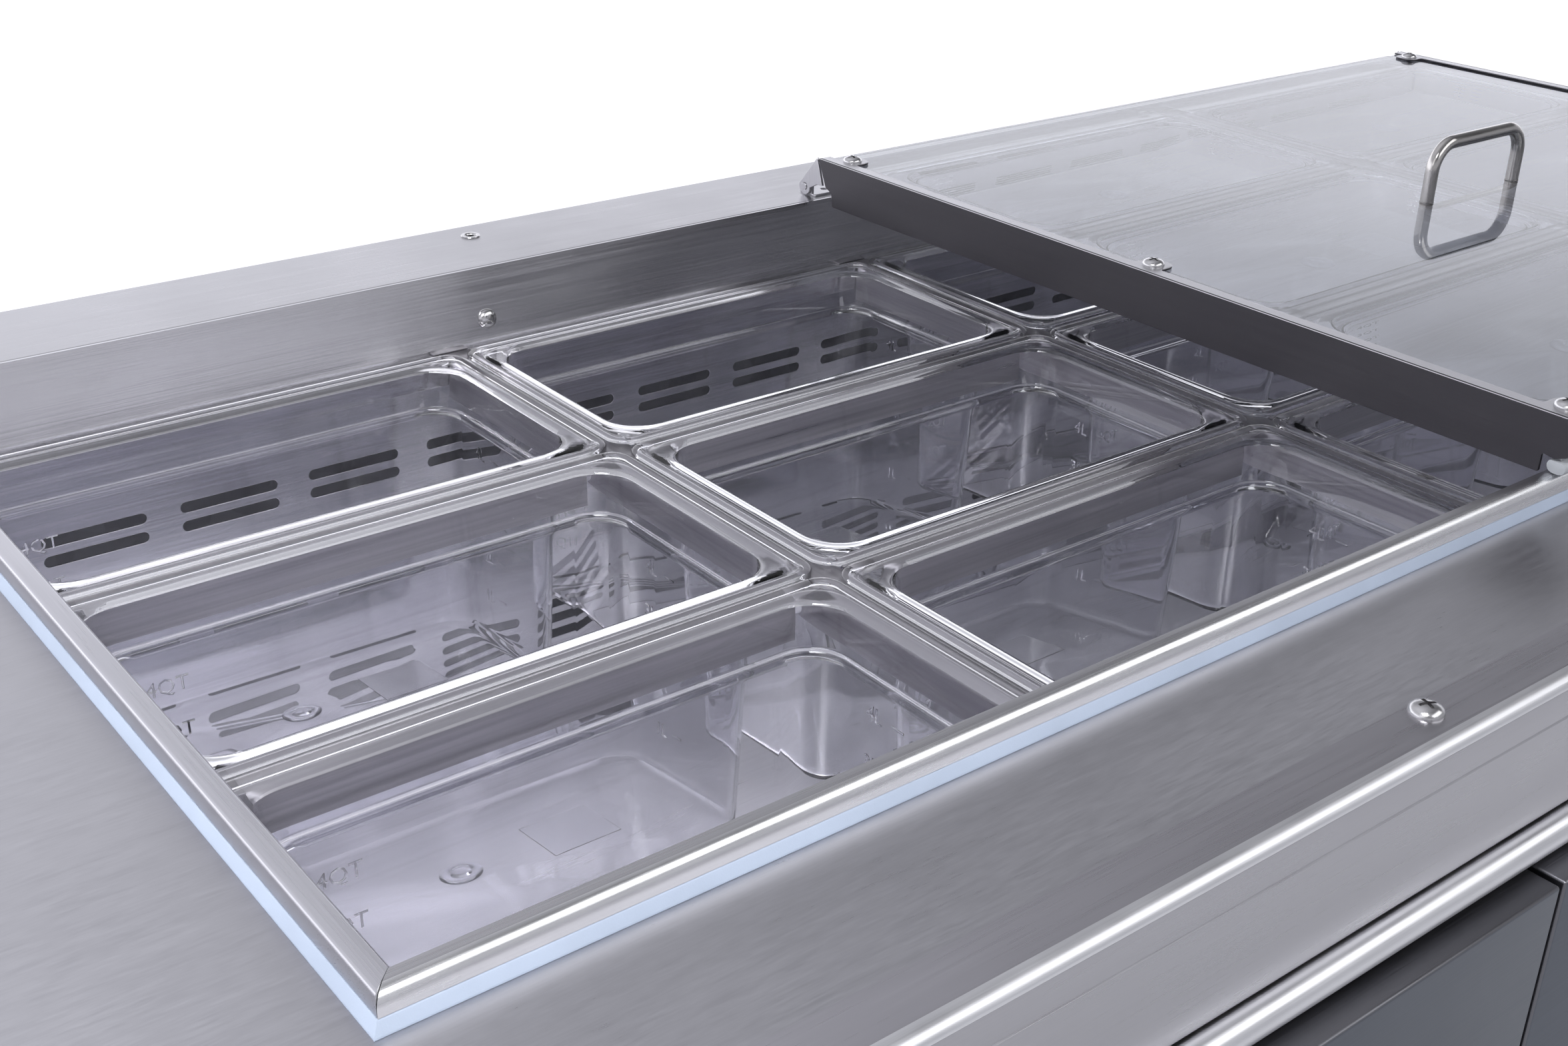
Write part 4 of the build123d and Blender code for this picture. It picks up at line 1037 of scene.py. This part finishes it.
def build_casters():
    bm = bmesh.new()
    for x, y in CASTERS:
        spots = [(x + sx * 38, y + sy * 30) for sx, sy in CORNERS]
        plate(bm, rectangle((x - 50, x + 50), (y - 42, y + 42), 7), [circle(s, 4.6, 16, True) for s in spots],
              "z", 145.0, 150.0, 0.7, 2)
        lathe(bm, [(0, 139.0), (21, 139.0), (25.5, 140.0), (27, 142.0), (27, 145.2), (0, 145.2)],
              (x, y, 0), steps=40)
        lathe(bm, [(0, 124.0), (7.8, 124.0), (9, 125.0), (9, 127.4), (6, 127.5), (6, 139.5), (0, 139.5)],
              (x, y, 0), steps=28)
        for u, v in spots:
            cylinder(bm, 8, 144.4, 145.1, (u, v, 0), steps=20)
            prism(bm, circle((u, v), 6.8, 6, start=0.2), "z", 140.4, 144.6, 0.6)
    piece("caster_top_plates", bm, zinc_bright, "table", "caster_plates")

    for number, (x, y) in enumerate(CASTERS, start=1):
        axle_y = y + 35.0
        bm = bmesh.new()
        lathe(bm, [(6.2, 128.6), (22, 128.6), (27, 129.4), (29, 131.6), (29, 136.0), (28, 138.0), (26, 138.4),
                   (6.2, 138.4), (6.2, 128.6)], (x, y, 0), steps=40)
        axle = (0, axle_y, AXLE_Z)
        leg = rounded([(y - 20, 131.5), (y + 26, 131.5), (axle_y + 13, AXLE_Z), (axle_y + 9, 41),
                       (axle_y - 9, 41), (axle_y - 13, AXLE_Z)], [4, 4, 9, 9, 9, 9], 6)
        for side in (-22.0, 18.0):
            plate(bm, leg, [], "x", x + side, x + side + 4.0, 0.8, 2)
        for side in (-25.0, 22.2):
            prism(bm, circle((axle_y, AXLE_Z), 8.2, 6), "x", x + side, x + side + 2.8, 0.5)
        cylinder(bm, 4.9, x - 22, x + 22, axle, "x")
        piece(f"caster_{number}_fork", bm, zinc_bright, f"caster_{number}", f"caster_fork_{number}")

        bm = bmesh.new()
        half = [(5.1, -15), (11, -15), (12, -13.8), (12.6, -9), (33, -8.6), (35, -9.6), (36.2, -13.6),
                (38, -14.6), (43, -14.6), (46.5, -13.6), (48.6, -11.2), (49.6, -7), (50, -2.5)]
        profile = [(r, x + h) for r, h in half] + [(r, x - h) for r, h in reversed(half)] + [(5.1, x - 15)]
        lathe(bm, profile, axle, "x", 56)
        for side in (-1, 1):
            for k in range(6):
                rib = turned([(11.5, -1.4), (34.5, -1.4), (34.5, 1.4), (11.5, 1.4)], pi * k / 3)
                prism(bm, [(axle_y + u, AXLE_Z + v) for u, v in rib], "x",
                      *span(x + side * 8.4, x + side * 12.6), 0.5)
        piece(f"caster_{number}_wheel", bm, [wheel_rubber, wheel_hub], f"wheel_{number}",
              f"caster_wheel_{number}",
              pick=lambda face, at, y=axle_y: int(Vector((at.y - y, at.z - AXLE_Z)).length < 36.4))


build_shelves()
build_casters()


# ---- refrigeration
def bladed(bm, x, z, y, radius, count, bore):
    """A moulded fan about Y: a cupped hub and swept blades."""
    hub = radius * 0.24
    lathe(bm, [(bore, y[0]), (hub - 2.5, y[0]), (hub - 0.6, y[0] + 0.8), (hub, y[0] + 2.6), (hub, y[1] - 0.6),
               (hub - 0.8, y[1]), (hub - 2.6, y[1]), (hub - 2.8, y[0] + 3.4), (bore + 2.4, y[0] + 3.2),
               (bore + 2.2, y[1] - 1), (bore, y[1] - 1), (bore, y[0])], (x, 0, z), "y", 40)
    middle, reach = (y[0] + y[1]) / 2, (y[1] - y[0]) / 2 - 1.2
    for k in range(count):
        rows = []
        for side in (-0.7, 0.7):
            for i in range(9):
                r = hub * 0.96 + (radius * 0.98 - hub * 0.96) * i / 8
                row = []
                for j in range(9):
                    across = j / 4 - 1
                    turn = 2 * pi * k / count + across * (0.50 - 0.10 * i / 8) + 0.28 * (i / 8) ** 2
                    camber = 0.16 * (1 - across * across)
                    depth = middle + reach * 0.92 * (across - camber) * (1 - 0.25 * i / 8) + side
                    row.append(bm.verts.new((x + r * cos(turn), depth, z + r * sin(turn))))
                rows.append(row)
        for layer in (rows[:9], rows[9:]):
            for i in range(8):
                for j in range(8):
                    bm.faces.new((layer[i][j], layer[i + 1][j], layer[i + 1][j + 1], layer[i][j + 1]))
        rim = ([(i, 0) for i in range(9)] + [(8, j) for j in range(1, 9)] + [(i, 8) for i in range(7, -1, -1)]
               + [(0, j) for j in range(7, 0, -1)])
        for (a, b), (c, d) in zip(rim, rim[1:] + rim[:1]):
            bm.faces.new((rows[a][b], rows[9 + a][b], rows[9 + c][d], rows[c][d]))


def coil(bm, x, y, z, count, tubes=5):
    """Finned coil: end plates, thin fins, and straight tubes that run through the end plates."""
    for end in ends(x, 2):
        block(bm, end, y, z, 0.4, 1)
    for k in range(1, count):
        at = x[0] + (x[1] - x[0]) * k / count
        block(bm, (at - 0.3, at + 0.3), (y[0] + 1, y[1] - 1), (z[0] + 2, z[1] - 2), 0)
    middle, step = (y[0] + y[1]) / 2, (z[1] - z[0]) / tubes
    lines = []
    for k in range(tubes):
        for side in (-9, 9):
            height = z[0] + step * (k + 0.5) + side * 0.4
            lines.append([(x[0] - 0.8, middle + side, height), (x[1] + 0.8, middle + side, height)])
    rods(bm, lines, 4.4, 3)


def build_evaporator():
    bm = bmesh.new()
    coil(bm, (-500.0, -120.0), (304.0, 348.0), (478.0, 643.0), 76)
    piece("evaporator_finned_coil", bm, fins, "table", "evaporator_coil")

    x, depth, z = (-506, -114), (263.6, 349.5), (468, 653)
    fan_x, fan_z = -310.0, 560.0
    hub = (fan_x, 0, fan_z)
    bm = bmesh.new()
    plate(bm, rectangle(x, z, 3), [circle((fan_x, fan_z), 64.5, 56, True)], "y", 262.0, 264.0, 0.5, 2)
    for wall in ends(x, 2):
        block(bm, wall, depth, (z[0] + 1, z[1] - 1), 0.4, 1)
    for wall in ends(z, 2):
        block(bm, (x[0] + 1, x[1] - 1), depth, wall, 0.4, 1)
    lathe(bm, [(64.4, 263.8), (64.8, 262.0), (66.5, 260.9), (68.4, 261.4), (69.0, 263.0), (64.4, 263.8)],
          hub, "y", 56)
    # the fan's guard: five rings and four wires across them
    guard = [[(u, 261.2, v) for u, v in arc((fan_x, fan_z), r, 0, 360, 48)] for r in (14, 27, 40, 53, 65)]
    for k in range(4):
        turn = pi * k / 4 + 0.3
        guard.append([(fan_x + s * 67 * cos(turn), 260.6, fan_z + s * 67 * sin(turn)) for s in (-1, 1)])
    rods(bm, guard, 1.0, 2)
    block(bm, (fan_x - 5, fan_x + 5), (296.0, 299.0), (470, 651), 0.5, 1)
    lathe(bm, [(0, 289.0), (14, 289.0), (17, 290.4), (18, 292.4), (18, 296.0), (17, 297.0), (0, 297.0)],
          hub, "y", 36)
    lathe(bm, [(0, 269.2), (2.6, 269.2), (2.95, 269.8), (2.95, 289.5), (0, 289.5)], hub, "y", 20)
    piece("evaporator_housing", bm, zinc, "table", "evaporator_cover")

    bm = bmesh.new()
    bladed(bm, fan_x, fan_z, (268.5, 287.5), 58.0, 5, 3.1)
    piece("evaporator_fan_wheel", bm, black_plastic, "evaporator_fan", "evaporator_fan", 40)


def build_condenser():
    z = (196, 454)
    fan_x, fan_z = -722.0, 325.0
    hub = (fan_x, 0, fan_z)
    strut = (fan_x - 8, fan_x + 8)
    bm = bmesh.new()
    coil(bm, (-855.0, -590.0), (-350.0, -310.2), (200.0, 450.0), 66, 7)
    plate(bm, rectangle((-858, -587), z, 3), [circle((fan_x, fan_z), 111.8, 64, True)], "y", -309.9, -307.9,
          0.5, 2)
    lathe(bm, [(111.6, -308.4), (111.6, -302.0), (112.6, -300.6), (114.0, -301.4), (114.0, -308.4),
               (111.6, -308.4)], hub, "y", 64)
    block(bm, strut, (-264.0, -258.0), z, 0.8, 2)
    for arm in ends(z, 4):
        block(bm, strut, (-308.0, -258.2), arm, 0.8, 1)
    lathe(bm, [(0, -262.0), (26, -262.0), (29, -260.4), (30, -257.0), (30, -236), (29.2, -235), (29.2, -232),
               (30, -231), (30, -223), (28, -219), (22, -217.2), (0, -217.2)], hub, "y", 44)
    lathe(bm, [(0, -299.6), (3.4, -299.6), (3.9, -299.0), (3.9, -261.5), (0, -261.5)], hub, "y", 20)
    piece("condenser_unit", bm, [fins, black_paint], "table", "condenser",
          pick=lambda face, at: int(at.y > -309.95))

    bm = bmesh.new()
    bladed(bm, fan_x, fan_z, (-297.0, -269.0), 100.0, 5, 4.1)
    piece("condenser_fan_wheel", bm, fins, "condenser_fan", "condenser_fan", 40)


def build_compressor():
    x, y = -722, 70
    bm = bmesh.new()
    pot = [(0, 208.0), (58, 208.2), (72, 212), (80, 222), (81.6, 232), (81.6, 278), (84, 279), (84, 283),
           (81.6, 284), (81.4, 322), (78, 338), (68, 350), (50, 356.6), (26, 358), (0, 358)]
    lathe(bm, pot, (x, y, 0), steps=64)
    block(bm, (x - 30, x + 30), (-27, -8), (252, 304), 4, 3)
    block(bm, (x - 22, x + 22), (-29, -26), (258, 298), 1.4, 2)
    feet = [(x + sx * 75, y + sy * 68) for sx, sy in CORNERS]
    holes = [circle(foot, 5.2, 16, True) for foot in feet]
    plate(bm, rectangle((x - 93, x + 93), (y - 85, y + 85), 16), holes, "z", 202.6, 208.2, 0.7, 2)
    for foot in feet:
        lathe(bm, [(0, 190.0), (10, 190.0), (11, 191.2), (9.6, 194.6), (9.6, 197.0), (11, 199.6),
                   (11, 202.4), (0, 202.4)], (*foot, 0), steps=28)
    piece("hermetic_compressor", bm, [black_paint, black_rubber], "table", "compressor",
          pick=lambda face, at: int(at.z < 202.5))


build_evaporator()
build_condenser()
build_compressor()


# ---- machine bay front
SEGMENTS = {"3": "abgcd", "8": "abcdefg"}
PANEL_Y = -386.0


def digit(bm, text, x, z):
    """A seven-segment figure seen from -Y, standing on z."""
    high, wide, thick, gap = 15.0, 8.0, 1.7, 0.6
    middle = z + high / 2
    left, right = ends((x, x + wide), thick)
    foot, head = ends((z, z + high), thick)
    lower, upper = (z + gap, middle - gap), (middle + gap, z + high - gap)
    across = (x + thick, x + wide - thick)
    bars = {"a": (across, head), "b": (right, upper), "c": (right, lower), "d": (across, foot),
            "e": (left, lower), "f": (left, upper),
            "g": (across, (middle - thick / 2, middle + thick / 2))}
    for name in SEGMENTS[text]:
        bar_x, bar_z = bars[name]
        block(bm, bar_x, (-388.35, -388.05), bar_z, 0.1, 1)


def build_louvres():
    x = (-891.0, -514.0)
    louvres = [215 + 34 * k for k in range(13)]
    bm = bmesh.new()
    slots = [rectangle((-860, -545), (z, z + 14), 6.5, 6)[::-1] for z in louvres]
    slots.append(rectangle((-737, -663), (755, 785), 1.0, 2)[::-1])
    plate(bm, rectangle(x, DOOR_Z, 2.0), slots, "y", PANEL_Y, PANEL_Y + 2, 0.6, 2)
    for wall in ends(x, 2):
        block(bm, wall, (PANEL_Y + 0.6, -337), (DOOR_Z[0] + 0.4, DOOR_Z[1] - 0.4), 0.4, 1)
    for z in louvres:
        blade = [(PANEL_Y + y, z + high) for y, high in ((0.3, 15), (2, 15), (14, 1), (12, 1))]
        prism(bm, rounded(blade, [0.6, 1.5, 0.5, 0.5], 3), "x", -861, -544, 0.4)
    piece("louvred_front", bm, steel_front_painted_shade, "table", "grille_panel")


def build_controller():
    button_x = {"button_down": -686.0, "button_up": -672.0}
    bm = bmesh.new()
    holes = [rectangle((-734, -694), (759, 781), 2, 4)[::-1]]
    holes += [rectangle((x - 5, x + 5), (762, 778), 1.5, 4)[::-1] for x in button_x.values()]
    plate(bm, rectangle((-740, -660), (752, 788), 4, 6), holes, "y", -389.0, -386.6, 0.5, 2)
    block(bm, (-735.6, -664.4), (-386.8, -336.0), (756.4, 783.6), 1.5, 2)
    first = len(bm.faces)
    block(bm, (-734.4, -693.6), (-387.9, -386.7), (758.6, 781.4), 0.2, 1)
    glass = len(bm.faces)
    for x, text in ((-728, "3"), (-714, "8")):
        digit(bm, text, x, 762.5)
    kinds = {face: 0 if k < first else 1 if k < glass else 2 for k, face in enumerate(bm.faces)}
    piece("temperature_controller", bm, [black_plastic, gloss_plastic, digit_light], "table", "controller",
          pick=lambda face, at: kinds[face])

    for name, x in button_x.items():
        bm = bmesh.new()
        block(bm, (x - 4.6, x + 4.6), (-389.7, -385.9), (762.4, 777.6), 1.2, 3)
        way = 1 if name == "button_up" else -1
        arrow = [(x - 2.4, 770 - 2.0 * way), (x + 2.4, 770 - 2.0 * way), (x, 770 + 2.4 * way)]
        prism(bm, arrow, "y", -389.95, -389.5)
        piece(f"{name}_cap", bm, [black_plastic, white_print], name, name,
              pick=lambda face, at: int(at.y < -389.72))


build_louvres()
build_controller()


# ---- stage and light
def build_stage():
    bm = bmesh.new()
    bmesh.ops.create_grid(bm, x_segments=2, y_segments=2, size=16.0)
    mesh = bpy.data.meshes.new("floor")
    bm.to_mesh(mesh)
    bm.free()
    made, tree, shader = material("pale_floor", (0.92, 0.92, 0.925), 0.85)
    tinted(tree, shader, noise(tree, 0.6, 2), (0.885, 0.885, 0.89), (0.90, 0.90, 0.905))
    # the floor runs into a lit backdrop behind the table
    depth = wire(tree, "SeparateXYZ", {0: wire(tree, "TexCoord").outputs["Object"]}).outputs["Y"]
    shader.inputs["Emission Color"].default_value = (1, 1, 1, 1)
    tree.links.new(spread(tree, depth, 0.0, 0.62, 0.9, 2.6), shader.inputs["Emission Strength"])
    mesh.materials.append(made)
    place("floor", mesh)


def softbox(name, spot, aim, size, power, spread_angle=180):
    """A rectangular lamp at spot, turned to face aim."""
    lamp = bpy.data.lights.new(name, "AREA")
    lamp.shape = "RECTANGLE"
    lamp.size, lamp.size_y = size
    lamp.energy = power
    lamp.color = (0.97, 0.975, 1.0)
    lamp.spread = radians(spread_angle)
    made = place(name, lamp)
    made.location = spot
    made.rotation_euler = (Vector(aim) - Vector(spot)).to_track_quat("-Z", "Y").to_euler()


def build_light():
    world = bpy.data.worlds.new("studio")
    scene.world = world
    world.use_nodes = True
    tree = world.node_tree
    shade = tree.nodes["Background"]
    way = wire(tree, "TexCoord").outputs["Generated"]
    split = wire(tree, "SeparateXYZ", {0: way})
    up, deep, side = split.outputs["Z"], split.outputs["Y"], split.outputs["X"]
    # a bright band low behind, an upper room that dims to the right, and a dim front
    band = spread(tree, up, 1.35, 0.0, 0.25, 0.41)
    upper = add(tree, spread(tree, side, 0.83, 0.26, 0.0, 0.75), spread(tree, up, 0.0, 0.12, 0.7, 0.85))
    behind = spread(tree, deep, 0.3, 1.0, -0.3, 0.3)
    light = add(tree, add(tree, band, upper), behind, "MULTIPLY")
    tree.links.new(light, shade.inputs["Strength"])
    shade.inputs["Color"].default_value = (0.95, 0.958, 1.03, 1)
    softbox("soft_front", (1.2, -2.4, 3.0), (0.1, -0.2, 0.9), (4.2, 1.5), 44)
    softbox("soft_top", (-1.05, -0.6, 2.2), (-0.5, 0.02, 0.75), (0.9, 0.6), 3.6, spread_angle=56)
    softbox("soft_left", (-3.0, -1.0, 2.6), (0, 0, 0.9), (1.6, 1.6), 8)


build_stage()
build_light()
scene.view_settings.view_transform = "Standard"
scene.view_settings.look = "None"
scene.cycles.max_bounces = 24
scene.cycles.transmission_bounces = 24
scene.cycles.transparent_max_bounces = 32
scene.cycles.glossy_bounces = 6
scene.cycles.diffuse_bounces = 3
